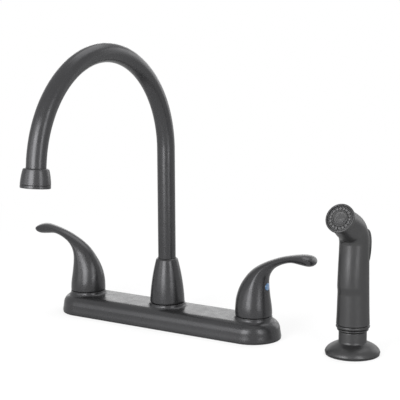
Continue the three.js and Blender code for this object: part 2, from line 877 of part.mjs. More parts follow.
const grooveDepth = 2 * ringSection + 0.1;
const adapterRadius = swivelBore - runningGap;
function spoutAdapter() {
  const grooves = ringHeights.flatMap((z) => [
    [adapterRadius, z - ringGrooveWidth / 2],
    [adapterRadius - grooveDepth, z - ringGrooveWidth / 2],
    [adapterRadius - grooveDepth, z + ringGrooveWidth / 2],
    [adapterRadius, z + ringGrooveWidth / 2],
  ]);
  const bore = tubeBore - seatGap - adapterWall;
  return revolve([
    [bore, adapterFoot],
    [adapterRadius - edgeBreak, adapterFoot],
    [adapterRadius, adapterFoot + threadLead],
    ...grooves,
    [adapterRadius, adapterCollarZ],
    [adapterCollarRadius, adapterCollarZ],
    [adapterCollarRadius, adapterCollarTop],
    [tubeRadius - 0.4, adapterCollarTop],
    [tubeRadius - 0.4, tubeFoot - seatGap],
    [tubeBore - seatGap, tubeFoot - seatGap],
    [tubeBore - seatGap, tubeFoot + adapterSpigot],
    [bore, tubeFoot + adapterSpigot],
    [bore, adapterFoot],
  ]);
}
add('spout_adapter', spoutAdapter(), brass, spout);

const ringCentre = adapterRadius - grooveDepth + 0.05 + ringSection;
ringHeights.forEach((z, i) => {
  add(
    `spout_seal_ring_${i + 1}`,
    new THREE.TorusGeometry(ringCentre, ringSection, 5, plainSides).translate(0, 0, z),
    rubber,
    spout,
  );
});
add(
  'spout_glide_ring',
  sleeve(
    tubeRadius + runningGap,
    adapterCollarRadius,
    glideZ,
    glideZ + glideThickness,
    fineSides,
  ),
  whitePlastic,
);

// The outlet: a flared cup round the tube's end, then the aerator screwed in it. Their
// heights count from the end of the arc, along the leaning tube.
const outlet = new THREE.Group();
outlet.position.copy(arcEnd);
outlet.rotation.x = -spoutLean;
spout.add(outlet);

const cupTopZ = cupOverlap - spoutStraight;
const cupFootZ = cupTopZ - cupHeight;

const ringTopZ = cupFootZ - seatGap;
const ringFootZ = ringTopZ - aeratorRingHeight;
const threadTopZ = ringTopZ + aeratorThreadHeight;
function outletCup() {
  const flare = new THREE.QuadraticBezierCurve(
    new THREE.Vector2(cupTopRadius + 0.5, cupTopZ - 0.9),
    new THREE.Vector2(cupFootRadius - 0.9, cupTopZ - cupHeight * 0.42),
    new THREE.Vector2(cupFootRadius, cupFootZ),
  );
  const socket = tubeRadius + runningGap;
  const thread = aeratorThreadRadius + seatGap;
  const socketFoot = cupTopZ - cupOverlap - seatGap;
  return revolve(
    [
      [socket, cupTopZ],
      [cupTopRadius, cupTopZ],
      ...flare.getPoints(3).map((p) => [p.x, p.y]),
      [thread, cupFootZ],
      [thread, threadTopZ + 1.6],
      [tubeBore, threadTopZ + 1.6],
      [tubeBore, socketFoot],
      [socket, socketFoot],
      [socket, cupTopZ],
    ],
    fineSides,
  );
}
add('outlet_cup', outletCup(), blackCoat, outlet);

const insertRadius = aeratorThreadRadius - aeratorWall - seatGap;
function aeratorHousing() {
  const shell = revolve(
    [
      [insertRadius - aeratorLip, ringFootZ],
      [cupFootRadius - 0.7, ringFootZ],
      [cupFootRadius, ringFootZ + 0.7],
      [cupFootRadius, ringTopZ],
      [aeratorThreadRadius, ringTopZ],
      [aeratorThreadRadius, threadTopZ],
      [insertRadius + seatGap, threadTopZ],
      [insertRadius + seatGap, ringFootZ + aeratorSill],
      [insertRadius - aeratorLip, ringFootZ + aeratorSill],
      [insertRadius - aeratorLip, ringFootZ],
    ],
    fineSides,
  );
  // two flats for the spanner
  const flats = [-1, 1].map((side) =>
    block(
      Math.min(side * (cupFootRadius - flatDepth), side * (cupFootRadius + overcut)),
      Math.max(side * (cupFootRadius - flatDepth), side * (cupFootRadius + overcut)),
      -flatHalfWidth,
      flatHalfWidth,
      ringFootZ - overcut,
      ringTopZ - flatLand,
    ),
  );
  return cut(shell, ...flats);
}
add('aerator_housing', aeratorHousing(), blackCoat, outlet);

function aeratorInsert() {
  const low = ringFootZ + aeratorSill + seatGap;
  const plate = revolve([
    [0, low],
    [insertRadius, low],
    [insertRadius, threadTopZ - 0.4],
    [insertRadius - 1.4, threadTopZ - 0.4],
    [insertRadius - 1.4, low + 2.2],
    [0, low + 2.2],
  ]);
  const holes = Array.from({ length: aeratorHoles }, (_, i) => {
    const angle = (2 * Math.PI * i) / aeratorHoles;
    const circle = insertRadius * 0.62;
    return rod(aeratorHoleRadius, low - overcut, threadTopZ, 4).translate(
      circle * Math.cos(angle),
      circle * Math.sin(angle),
      0,
    );
  });
  return cut(plate, rod(aeratorEye, low - overcut, threadTopZ, 6), ...holes);
}
add('aerator_insert', aeratorInsert(), whitePlastic, outlet);
add(
  'aerator_washer',
  sleeve(tubeBore + 0.2, aeratorThreadRadius - 0.2, threadTopZ + seatGap, threadTopZ + 1.4),
  rubber,
  outlet,
);

// ---------------------------------------------------------- sprayer holder
const holder = new THREE.Group();
holder.position.set(sprayerX, sprayerY, 0);
faucet.add(holder);

const holderFoot = gasketThickness + seatGap;
function sprayerHolder() {
  const dome = new THREE.CubicBezierCurve(
    new THREE.Vector2(holderFlangeRadius, holderFoot + 1),
    new THREE.Vector2(holderFlangeRadius - 1.6, holderFoot + 6.4),
    new THREE.Vector2(holderNeckRadius + 4, holderDomeHeight - 1.8),
    new THREE.Vector2(holderNeckRadius + 0.8, holderDomeHeight + 0.2),
  );
  return revolve(
    [
      [holderBore, -holderShankLength],
      [holderShankRadius, -holderShankLength],
      [holderShankRadius, holderFoot],
      [holderFlangeRadius - 0.3, holderFoot],
      ...dome.getPoints(4).map((p) => [p.x, p.y]),
      [holderNeckRadius, holderDomeHeight + 2],
      [holderNeckRadius, holderNeckTop - 0.8],
      [holderNeckRadius - 0.8, holderNeckTop],
      [holderBore, holderNeckTop],
      [holderBore, -holderShankLength],
    ],
    fineSides,
  );
}
add('sprayer_holder', sprayerHolder(), blackCoat, holder);
add(
  'holder_gasket',
  sleeve(holderShankRadius + seatGap, holderFlangeRadius - 0.5, 0, gasketThickness, fineSides),
  rubber,
  holder,
);
const holderNutTop = -deckThickness;
add(
  'holder_nut',
  cut(
    hexagon(holderNutCorner, holderNutTop - nutHeight, holderNutTop),
    rod(
      holderShankRadius + seatGap,
      holderNutTop - nutHeight - overcut,
      holderNutTop + overcut,
      fineSides,
    ),
  ),
  brass,
  holder,
);

// ----------------------------------------------------------------- sprayer
const sprayer = new THREE.Group();
sprayer.position.set(sprayerX, sprayerY, 0);
faucet.add(sprayer);

const sprayCollarZ = holderNeckTop + seamGap;
const sprayFootZ = sprayCollarZ + sprayCollarHeight + seatGap;
const elbowEndY = -sprayElbowRadius * (1 - Math.cos(sprayBend));
const elbowEndZ = sprayElbowStart + sprayElbowRadius * Math.sin(sprayBend);
const noseDirection = point(0, -Math.sin(sprayBend), Math.cos(sprayBend));
const faceCentre = point(0, elbowEndY, elbowEndZ).addScaledVector(noseDirection, sprayNoseLength);

// Radius of the upright body: a straight taper, and on its front a finger rest
// that swells downwards and ends in a ledge. angle 0 is the front.
function bodyRadius(z, angle) {
  const up = THREE.MathUtils.clamp((z - sprayFootZ) / (sprayElbowStart - sprayFootZ), 0, 1);
  const taper = THREE.MathUtils.lerp(sprayFootRadius, sprayTopRadius, up ** 0.7);
  const swell =
    THREE.MathUtils.smoothstep(z, gripLedge - 5, gripLedge + 4) *
    (1 - THREE.MathUtils.smoothstep(z, gripLedge + 6, sprayElbowStart + 4));
  const front = Math.max(0, Math.cos(angle)) ** 2;
  return taper + gripHump * swell * front;
}

function sprayBodyRing(centre, tilt, radiusAt, sides) {
  return Array.from({ length: sides }, (_, i) => {
    const angle = (2 * Math.PI * i) / sides;
    const radius = radiusAt(angle - 1.5 * Math.PI);
    const across = radius * Math.sin(angle);
    return point(
      radius * Math.cos(angle),
      centre.y + across * Math.cos(tilt),
      centre.z + across * Math.sin(tilt),
    );
  });
}

function sprayBodySkin() {
  const sides = 18;
  const rings = [];
  const upright = [0, 14, 28, 33, 38, 44, 56, 68];
  for (const rise of upright) {
    const z = sprayFootZ + rise;
    rings.push(sprayBodyRing(point(0, 0, z), 0, (angle) => bodyRadius(z, angle), sides));
  }
  const turns = 5;
  for (let i = 0; i <= turns; i++) {
    const tilt = (sprayBend * i) / turns;
    const centre = point(
      0,
      -sprayElbowRadius * (1 - Math.cos(tilt)),
      sprayElbowStart + sprayElbowRadius * Math.sin(tilt),
    );
    rings.push(sprayBodyRing(centre, tilt, () => sprayTopRadius, sides));
  }
  const end = faceCentre.clone().addScaledVector(noseDirection, -rimHeight - seatGap);
  rings.push(sprayBodyRing(end, sprayBend, () => sprayNoseRadius, sides));
  return loft(rings);
}

const onNose = (depth) => faceCentre.clone().addScaledVector(noseDirection, -depth);
const nozzleBore = sprayNoseRadius - 1.6;
const channelY = -9.7; // the waterway past the valve, in front of the plunger
const channelRise = 6; // how far it climbs from the seat to there
const channelLap = 1.4; // its straight runs overlap by this much at a bend

// The plunger's head: a short cylinder and a 45 degree cone, which the nose of the
// thumb lever presses down with a slope of the same angle.
const headBore = headRadius + 2 * runningGap;
const headBoreFoot = valveSeatTop + 10;
const headFoot = headBoreFoot + plungerTravel + runningGap;
const headRim = headFoot + 1.6;
const headTipRadius = 1.8;
const headConeTop = headRim + headRadius - headTipRadius;
const slopeSum = headRim + headRadius + runningGap * Math.SQRT2; // y + z along the slope
const noseTip = headRadius - 1; // how near the lever's nose comes to the sprayer's axis

// The cross hole of the thumb lever's pin.
const clearOfBody = 2 * sprayFootRadius;
const crossBore = (radius) =>
  bar(
    radius,
    point(-clearOfBody, triggerPivotY, triggerPivotZ),
    point(clearOfBody, triggerPivotY, triggerPivotZ),
  );

function sprayBody() {
  const channelFoot = valveSeatTop - sprayChannelRadius - seatGap;
  const bores = [
    rod(inletBore, sprayFootZ - overcut, inletTop),
    rod(valveBore, inletTop - overcut, valveTop),
    rod(valveSeatBore, valveTop - overcut, valveSeatTop, tubeSides),
    rod(glandBore, valveSeatTop - overcut, headBoreFoot + overcut),
    rod(headBore, headBoreFoot, headConeTop + 2 * runningGap, tubeSides),
    bar(
      sprayChannelRadius,
      point(0, -valveSeatBore + sprayChannelRadius, channelFoot),
      point(0, channelY, channelFoot + channelRise),
    ),
    bar(
      sprayChannelRadius,
      point(0, channelY, channelFoot + channelRise - channelLap),
      point(0, channelY, sprayElbowStart + channelLap),
    ),
    bar(
      sprayChannelRadius,
      point(0, channelY, sprayElbowStart + overcut),
      onNose(rimHeight + 2 * overcut),
    ),
    bar(nozzleBore, onNose(rimHeight + 4), onNose(-1)),
  ];
  const pocketTop = triggerPivotZ + triggerTop + triggerPlay;
  const pocketSide = triggerHalfWidth + runningGap;
  const pocketFoot = triggerFoot - triggerPlay;
  const noseRoom = noseTip - plungerTravel - runningGap;
  const thumbPocket = block(
    -pocketSide, pocketSide, glandBore + valveWall, clearOfBody, pocketFoot, pocketTop,
  );
  const nosePocket = block(
    -pocketSide, pocketSide, noseRoom, clearOfBody, headBoreFoot, pocketTop,
  );
  return cut(sprayBodySkin(), ...bores, thumbPocket, nosePocket, crossBore(pinRadius + pinGap));
}
add('spray_body', sprayBody(), blackCoat, sprayer);

const pinLength = 2 * Math.sqrt(sprayTopRadius ** 2 - triggerPivotY ** 2) - 1.4;
add(
  'trigger_pin',
  bar(
    pinRadius,
    point(-pinLength / 2, triggerPivotY, triggerPivotZ),
    point(pinLength / 2, triggerPivotY, triggerPivotZ),
    12,
  ),
  steel,
  sprayer,
);

// The thumb lever on the back: a crowned plate, a boss round the pin and a nose
// with a slope that drives the plunger down.
function trigger() {
  const top = triggerPivotZ + triggerTop;
  const lip = triggerCrown - triggerTuck; // the plate's outer face at its foot
  const noseFoot = headFoot - noseDepth;
  const outline = new THREE.Shape();
  outline.moveTo(triggerPivotY - bossRadius, top - bossRadius);
  outline.lineTo(triggerPivotY + 1.5 * bossRadius, top);
  outline.bezierCurveTo(
    triggerCrown + crownPull, top - bossRadius - crownPull,
    triggerCrown + crownPull, triggerFoot + headFoot - valveSeatTop,
    lip, triggerFoot,
  );
  outline.lineTo(lip - triggerWall, triggerFoot);
  outline.lineTo(triggerCrown - 1.5 * triggerWall, noseFoot);
  outline.lineTo(slopeSum - noseFoot, noseFoot);
  outline.lineTo(noseTip, slopeSum - noseTip);
  outline.lineTo(noseTip, slopeSum - noseTip + noseHeight);
  outline.lineTo(triggerPivotY - noseHeight, triggerPivotZ - 1.5 * bossRadius);
  outline.closePath();
  const plate = new THREE.ExtrudeGeometry(outline, {
    depth: 2 * (triggerHalfWidth - triggerBevel),
    curveSegments: 8,
    bevelEnabled: true,
    bevelSize: triggerBevel,
    bevelOffset: -triggerBevel,
    bevelThickness: triggerBevel,
    bevelSegments: 1,
  });
  // the outline's axes become Y and Z, and its depth runs along X
  plate.translate(0, 0, triggerBevel - triggerHalfWidth).rotateY(Math.PI / 2).rotateX(Math.PI / 2);
  return cut(plate, crossBore(pinRadius + runningGap));
}
add('spray_trigger', trigger(), blackCoat, sprayer);

// Plunger: poppet below the seat, stem through the gland, coned head on top.
const poppetTop = valveTop - runningGap;
const poppetFoot = poppetTop - poppetThickness;
const plungerRadius = glandBore - runningGap;
add(
  'valve_plunger',
  revolve([
    [0, poppetFoot],
    [poppetRadius, poppetFoot],
    [poppetRadius, poppetTop],
    [plungerRadius, poppetTop],
    [plungerRadius, headFoot],
    [headRadius, headFoot],
    [headRadius, headRim],
    [headTipRadius, headConeTop],
    [0, headConeTop],
  ]),
  whitePlastic,
  sprayer,
);

// Return spring under the poppet: one round wire, closed flat by its seats.
const springTop = poppetFoot - seatGap;
const springFoot = inletTop + springSeatHeight + seatGap;
class Helix extends THREE.Curve {
  getPoint(t) {
    const angle = 2 * Math.PI * springTurns * t;
    const low = springFoot + springWire;
    const high = springTop - springWire;
    return point(
      springRadius * Math.cos(angle),
      springRadius * Math.sin(angle),
      low + (high - low) * t,
    );
  }
}

function valveSpring() {
  const steps = 6 * springTurns;
  const path = new Helix();
  const rings = Array.from({ length: steps + 1 }, (_, i) => {
    const centre = path.getPoint(i / steps);
    const out = point(centre.x, centre.y, 0).normalize();
    return Array.from({ length: 4 }, (_, k) => {
      const angle = (Math.PI * k) / 2;
      return centre
        .clone()
        .addScaledVector(out, springWire * Math.cos(angle))
        .add(point(0, 0, -springWire * Math.sin(angle)));
    });
  });
  return loft(rings);
}
add('valve_spring', valveSpring(), steel, sprayer);

// Threaded seat that the spring stands on; water passes through its middle.
add(
  'spring_seat',
  sleeve(springRadius - 1.6, valveBore - seatGap, inletTop - 2, inletTop + springSeatHeight),
  brass,
  sprayer,
);

// Collar at the foot of the body: a small bead, a groove and a larger bead.
function sprayCollar() {
  const inner = couplingRadius + seatGap;
  const bead = sprayCollarHeight / 4;
  const low = sprayCollarZ;
  return revolve(
    [
      [inner, low],
      [sprayFootRadius - 1.8, low],
      [sprayFootRadius - 1, low + bead * 0.5],
      [sprayFootRadius - 1.3, low + bead * 1.4],
      ...arc(sprayFootRadius - bead, low + bead * 2.4, bead * 0.9, -50, 60, 3),
      [sprayFootRadius - 0.9, low + sprayCollarHeight],
      [inner, low + sprayCollarHeight],
      [inner, low],
    ],
    fineSides,
  );
}
add('spray_collar', sprayCollar(), blackCoat, sprayer);

// Hose coupling: runs from the body down through the holder, and ends in the
// thread for the hose.
const couplingTop = inletTop - 6;
add(
  'hose_coupling',
  revolve([
    [couplingBore, couplingFoot],
    [couplingRadius - couplingStep, couplingFoot],
    [couplingRadius - couplingStep, couplingFoot + couplingThread],
    [couplingRadius, couplingFoot + couplingThread + couplingStep],
    [couplingRadius, sprayFootZ + 1],
    [inletBore - seatGap, sprayFootZ + 1],
    [inletBore - seatGap, couplingTop],
    [couplingBore, couplingTop],
    [couplingBore, couplingFoot],
  ]),
  brass,
  sprayer,
);
add(
  'coupling_washer',
  sleeve(couplingBore + 0.6, inletBore - 0.6, couplingTop + seatGap, inletTop - 2 - seatGap),
  rubber,
  sprayer,
);

// Nozzle: everything in it is turned about the axis of the spray.
const nozzle = new THREE.Group();
nozzle.position.copy(faceCentre);
nozzle.rotation.x = sprayBend;
sprayer.add(nozzle);

const rimInner = sprayTopRadius - rimWall;
add(
  'nozzle_rim',
  revolve(
    [
      [rimInner, -rimHeight],
      [sprayTopRadius, -rimHeight],
      [sprayTopRadius, -0.9],
      [sprayTopRadius - 0.9, 0],
      [rimInner, -0.7],
      [rimInner, -rimHeight],
    ],
    fineSides,
  ),
  blackCoat,
  nozzle,
);

// Spray face: a flat ring of nubs round a dished middle.
function sprayFace() {
  const radius = rimInner - runningGap;
  const front = -1.1;
  const plate = revolve(
    [
      [0, front - facePlateThickness],
      [radius, front - facePlateThickness],
      [radius, front],
      [dishRadius, front],
      [dishRadius * 0.45, front - dishDepth],
      [0, front - dishDepth * 0.6],
    ],
    fineSides,
  );
  const nubs = Array.from({ length: nubCount }, (_, i) => {
    const angle = (2 * Math.PI * i) / nubCount;
    const cone = revolve(
      [
        [0, front - nubRoot],
        [nubRadius, front - nubRoot],
        [nubRadius * nubTaper, front + nubHeight],
        [0, front + nubHeight],
      ],
      4,
    );
    return cone.translate(nubCircle * Math.cos(angle), nubCircle * Math.sin(angle), 0);
  });
  return join(plate, ...nubs);
}
add('spray_face', sprayFace(), darkPlastic, nozzle);

export default faucet;
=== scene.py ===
# %% [markdown]
# # A kitchen tap with two levers, a swan-neck spout and a side sprayer
# The real tap is a row of brass and zinc castings on one long deck plate, all under
# the same satin near-black coat, with a plastic hand sprayer that stands in its own
# holder beside it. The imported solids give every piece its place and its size. In these
# cells each piece that shows gets a finer skin, worked out as a formula on a grid, and
# each piece, seen or hidden, gets a finish made of nodes. Lengths are written in
# millimetres and turned into metres where a mesh is made.

# %% Load the frame
import json
import math

import bmesh
import bpy
import numpy as np
from mathutils import Matrix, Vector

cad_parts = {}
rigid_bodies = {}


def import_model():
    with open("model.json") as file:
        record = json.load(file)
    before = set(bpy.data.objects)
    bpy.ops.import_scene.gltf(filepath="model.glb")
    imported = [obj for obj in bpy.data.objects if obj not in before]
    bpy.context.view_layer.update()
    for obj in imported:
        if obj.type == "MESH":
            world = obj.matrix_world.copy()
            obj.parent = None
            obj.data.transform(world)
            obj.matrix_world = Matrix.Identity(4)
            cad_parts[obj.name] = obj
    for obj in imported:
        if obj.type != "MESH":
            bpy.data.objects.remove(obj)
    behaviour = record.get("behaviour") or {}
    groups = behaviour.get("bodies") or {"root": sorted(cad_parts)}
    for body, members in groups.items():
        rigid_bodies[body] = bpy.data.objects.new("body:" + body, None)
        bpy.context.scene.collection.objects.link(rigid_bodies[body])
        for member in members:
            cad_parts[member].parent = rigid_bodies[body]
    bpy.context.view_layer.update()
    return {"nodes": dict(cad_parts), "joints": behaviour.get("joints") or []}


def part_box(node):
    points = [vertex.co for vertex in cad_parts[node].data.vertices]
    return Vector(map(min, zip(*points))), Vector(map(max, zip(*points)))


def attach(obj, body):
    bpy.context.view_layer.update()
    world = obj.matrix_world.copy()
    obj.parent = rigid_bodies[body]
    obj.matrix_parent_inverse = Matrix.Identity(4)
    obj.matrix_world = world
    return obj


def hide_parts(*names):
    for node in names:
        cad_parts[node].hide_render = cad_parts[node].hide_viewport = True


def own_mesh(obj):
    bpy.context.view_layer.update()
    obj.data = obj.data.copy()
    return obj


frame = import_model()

MM = 0.001

# %% [markdown]
# ## The camera
# The photograph looks at the tap from its right and a little from above, through a
# long lens, so upright lines stay upright. The place and the three directions of the
# camera were worked out from the corners of the deck plate, the foot of each handle
# and the top of the spout. A matrix takes them as they are, with nothing to aim.

# %% Camera
eye = np.array([656.20, -984.92, 330.33])
sideways = np.array([0.848198, 0.529659, -0.004680])
upwards = np.array([-0.085271, 0.145264, 0.985712])
backwards = np.array([0.522770, -0.835680, 0.168377])

lens = bpy.data.cameras.new("long_lens")
lens.sensor_width = 36.0
lens.lens = 106.67
lens.clip_start = 0.02
camera = bpy.data.objects.new("camera", lens)
placing = np.eye(4)
placing[:3, :3] = np.stack([sideways, upwards, backwards], axis=1)
placing[:3, 3] = eye * MM
camera.matrix_world = Matrix(placing.tolist())
scene = bpy.context.scene
scene.collection.objects.link(camera)
scene.camera = camera
scene.view_settings.view_transform = "Standard"
print("camera at", (eye * MM).round(3).tolist(), "lens", lens.lens)

# %% [markdown]
# ## Light and ground
# A satin dark coat shows its shape almost only by what it mirrors. The camera looks a
# little downwards, so upright tubes mirror what stands near the floor. Two tall lamps
# therefore stand close by, left and right of the camera, and draw the two soft lines
# that run down the spout, the bell and the sprayer. A wide wash further left lights the
# sides that face the sink, and another behind the right side brightens the rims. A low
# wide lamp at the back is what the flat top of the plate mirrors, and one overhead
# lights the levers. Each is large for its distance, so the light stays soft.

# %% Lamps
middle = np.array([30.0, -60.0, 120.0])
flat_back = backwards[:2] / np.hypot(*backwards[:2])
flat_side = sideways[:2] / np.hypot(*sideways[:2])


def lamp(name, turn, rise, distance, size, power):
    """A soft rectangular lamp that looks at the middle of the tap. turn is its angle
    from the camera's own direction, to the camera's right, and rise its angle over
    the horizon. size is its width and height in metres."""
    angle, lift = math.radians(turn), math.radians(rise)
    level = math.cos(angle) * flat_back + math.sin(angle) * flat_side
    towards = np.array([*(level * math.cos(lift)), math.sin(lift)])
    data = bpy.data.lights.new(name, "AREA")
    data.shape, data.size, data.size_y = "RECTANGLE", size[0], size[1]
    data.energy = power
    holder = bpy.data.objects.new(name, data)
    across = np.cross([0.0, 0.0, 1.0], towards)
    across /= np.linalg.norm(across)
    turned = np.eye(4)
    turned[:3, :3] = np.stack([across, np.cross(towards, across), towards], axis=1)
    turned[:3, 3] = middle * MM + towards * distance
    holder.matrix_world = Matrix(turned.tolist())
    scene.collection.objects.link(holder)
    print(name, "stands at", turned[:3, 3].round(2).tolist())


lamp("key_strip", -31, 15, 0.68, (0.34, 0.54), 4.1)
lamp("key_wash", -64, 12, 1.9, (1.0, 1.7), 8.0)
lamp("fill_strip", 37, 15, 0.68, (0.20, 0.54), 1.6)
lamp("rim_strip", 130, 8, 1.9, (0.8, 1.7), 9.0)
lamp("low_back", 178, 13, 2.2, (2.6, 0.6), 10.0)
lamp("overhead", 150, 62, 1.7, (1.3, 1.0), 8.0)


# %% [markdown]
# The world and the floor are white where the camera or a mirror-like ray meets them,
# and quieter for all other light. So the tap stands on white, while its own colours
# stay as they are written. Nodes are made by a small helper, here and in every finish.

# %% Nodes, and a white that doesn't light
def set_sockets(node, **values):
    """Sets plain values on a node's sockets, whose names are written with _ for space."""
    for socket, value in values.items():
        node.inputs[socket.replace("_", " ")].default_value = value


def make(tree, kind, **values):
    """A new node of this kind in a tree, with its plain values set."""
    node = tree.nodes.new(kind)
    set_sockets(node, **values)
    return node


def white_for_camera(tree, shader_for_light, shader_for_eye):
    """Mixes two shaders: what the camera, a mirror ray or a ray through glass meets,
    and what lights the object. The largest of the three ray marks, 0 or 1, chooses."""
    path = make(tree, "ShaderNodeLightPath")
    mark = path.outputs["Is Camera Ray"]
    for ray in ("Is Glossy Ray", "Is Transmission Ray"):
        larger = make(tree, "ShaderNodeMath")
        larger.operation = "MAXIMUM"
        tree.links.new(mark, larger.inputs[0])
        tree.links.new(path.outputs[ray], larger.inputs[1])
        mark = larger.outputs[0]
    mix = make(tree, "ShaderNodeMixShader")
    tree.links.new(mark, mix.inputs["Fac"])
    tree.links.new(shader_for_light, mix.inputs[1])
    tree.links.new(shader_for_eye, mix.inputs[2])
    return mix.outputs[0]


# %% World
world = bpy.data.worlds.new("studio")
scene.world = world
world.use_nodes = True
sky = world.node_tree
sky.nodes.clear()
light_strength, eye_strength = 0.58, 1.0
soft_air, white_air = (
    make(sky, "ShaderNodeBackground", Color=(1, 1, 1, 1), Strength=strength).outputs[0]
    for strength in (light_strength, eye_strength)
)
world_out = make(sky, "ShaderNodeOutputWorld")
sky.links.new(white_for_camera(sky, soft_air, white_air), world_out.inputs[0])
print("world: strength", light_strength, "for light,", eye_strength, "for the eye")

# %% [markdown]
# The floor stands in for the sink's deck. Near the tap it is partly a plain white card,
# which takes the soft shadow, and further out it fades over to plain white, by the
# distance from the floor's own middle. A smooth step between two distances keeps that
# change out of sight.

# %% Floor
card_white = 0.96
fade_start, fade_end = 0.30, 0.75  # metres from the floor's middle
glow_near, glow_far = 0.72, 1.0  # share of plain white there
floor_height = -0.4  # in millimetres, just under the gaskets
floor_half = 4.0  # in metres, from its middle to each side

floor_skin = bpy.data.materials.new("floor_white")
floor_skin.use_nodes = True
tree = floor_skin.node_tree
tree.nodes.clear()
card = make(tree, "ShaderNodeBsdfDiffuse", Color=(card_white, card_white, card_white, 1))
glow = make(tree, "ShaderNodeEmission", Strength=1.0)
half_glow = make(tree, "ShaderNodeMixShader")
reach = make(tree, "ShaderNodeVectorMath")
reach.operation = "LENGTH"
tree.links.new(make(tree, "ShaderNodeTexCoord").outputs["Object"], reach.inputs[0])
fade = make(tree, "ShaderNodeMapRange", From_Min=fade_start, From_Max=fade_end,
            To_Min=glow_near, To_Max=glow_far)
fade.interpolation_type = "SMOOTHSTEP"
tree.links.new(reach.outputs["Value"], fade.inputs["Value"])
tree.links.new(fade.outputs["Result"], half_glow.inputs["Fac"])
tree.links.new(card.outputs[0], half_glow.inputs[1])
tree.links.new(glow.outputs[0], half_glow.inputs[2])
floor_out = make(tree, "ShaderNodeOutputMaterial")
floor_shader = white_for_camera(tree, card.outputs[0], half_glow.outputs[0])
tree.links.new(floor_shader, floor_out.inputs[0])

floor_mesh = bpy.data.meshes.new("floor")
corners = floor_half * np.array([[-1, -1], [1, -1], [1, 1], [-1, 1]], float)
floor_points = np.c_[corners, np.full(4, floor_height * MM)].tolist()
floor_mesh.from_pydata(floor_points, [], [(0, 1, 2, 3)])
floor_mesh.materials.append(floor_skin)
floor = bpy.data.objects.new("floor", floor_mesh)
scene.collection.objects.link(floor)
print("floor at", floor_height, "mm")

# %% [markdown]
# ## Finishes
# Every finish starts from the same recipe. A coarse noise lets the colour drift a
# little, a second one does the same for the roughness, and a fine one raises a bump,
# so that no surface is one flat value. Turned metal gets its noise squeezed along the
# axis of the lathe instead, which reads as fine tool lines. All patterns use object
# coordinates, in metres, so a scale of 1000 means grains of about a millimetre.


# %% A finish made of nodes
def finish(name, colour, roughness, metal=0.0, drift=0.06, drift_size=18.0, uneven=0.04,
           grain=1400.0, relief=0.00002, stretch=(1, 1, 1), edge_tint=(1, 1, 1), **shader):
    """Builds one material: colour times (1 - drift .. 1 + drift) by a noise of scale
    drift_size, and roughness plus or minus uneven by one six times finer; bump height
    relief (metres) by a noise of scale grain. stretch squeezes the grain along x, y or
    z, edge_tint is the tint towards the rims, and shader sets any other sockets."""
    material = bpy.data.materials.new(name)
    material.use_nodes = True
    tree = material.node_tree
    skin = tree.nodes["Principled BSDF"]
    set_sockets(skin, Metallic=metal, Specular_Tint=(*edge_tint, 1), **shader)
    place = make(tree, "ShaderNodeTexCoord").outputs["Object"]

    def noise(scale, detail, squeeze=(1, 1, 1)):
        """A noise read at the object's own coordinates, each times its squeeze."""
        mapping = make(tree, "ShaderNodeMapping", Scale=squeeze)
        tree.links.new(place, mapping.inputs["Vector"])
        texture = make(tree, "ShaderNodeTexNoise", Scale=scale, Detail=detail)
        tree.links.new(mapping.outputs[0], texture.inputs["Vector"])
        return texture.outputs["Fac"]

    def spread(value, low, high):
        """Low where the noise is 0.3, high where it is 0.7, and in a line between."""
        node = make(tree, "ShaderNodeMapRange", From_Min=0.3, From_Max=0.7,
                    To_Min=low, To_Max=high)
        tree.links.new(value, node.inputs["Value"])
        return node.outputs["Result"]

    shades = make(tree, "ShaderNodeMix")
    shades.data_type = "RGBA"  # its two colours are the sockets 6 and 7
    shades.inputs[6].default_value = (*[c * (1 - drift) for c in colour], 1)
    shades.inputs[7].default_value = (*[min(1.0, c * (1 + drift)) for c in colour], 1)
    tree.links.new(spread(noise(drift_size, 3), 0, 1), shades.inputs[0])
    tree.links.new(shades.outputs[2], skin.inputs["Base Color"])
    dull = spread(noise(drift_size * 6, 2), roughness - uneven, roughness + uneven)
    tree.links.new(dull, skin.inputs["Roughness"])
    bump = make(tree, "ShaderNodeBump", Strength=1.0, Distance=relief)
    tree.links.new(noise(grain, 2, stretch), bump.inputs["Height"])
    tree.links.new(bump.outputs["Normal"], skin.inputs["Normal"])
    return material


# %% [markdown]
# The coat is a dark film with metal in it, satin rather than shiny. It is mostly metal,
# and its tint towards the rim is darker, so the outlines of the tubes stay dark against
# white as they do in the photograph. Its grain is so fine and low that it only softens
# the mirrored lamps. The sprayer is moulded plastic in the same colour, a touch lighter
# and flatter. What nobody sees keeps its own honest finish: brass, copper, steel,
# white plastic, ceramic and rubber.

# %% The finishes of this tap
dark_coat = finish("dark_coat", (0.045, 0.045, 0.047), 0.28, metal=0.7,
                   edge_tint=(0.7, 0.7, 0.7), grain=2600.0, relief=0.0000012)
sprayer_coat = finish("sprayer_coat", (0.054, 0.054, 0.055), 0.35, metal=0.7,
                      edge_tint=(0.5, 0.5, 0.5), grain=2000.0, relief=0.000003)
face_plastic = finish("face_plastic", (0.034, 0.034, 0.035), 0.50, grain=1800.0, relief=0.00002)
nub_rubber = finish("nub_rubber", (0.115, 0.115, 0.117), 0.55, grain=1800.0, relief=0.00002)
dark_moulding = finish("dark_moulding", (0.030, 0.030, 0.032), 0.55,
                       grain=900.0, relief=0.00003)
brass = finish("brass", (0.72, 0.52, 0.24), 0.28, metal=1.0, drift=0.05,
               grain=300.0, relief=0.000004, stretch=(1, 1, 14))
copper = finish("copper", (0.78, 0.40, 0.26), 0.30, metal=1.0, drift=0.10, drift_size=60.0,
                grain=260.0, relief=0.00001, stretch=(14, 1, 1))
steel = finish("steel", (0.56, 0.57, 0.58), 0.28, metal=1.0, drift=0.04,
               grain=900.0, relief=0.00001)
rubber = finish("rubber", (0.016, 0.016, 0.017), 0.78, drift=0.15, grain=1500.0, relief=0.00004)
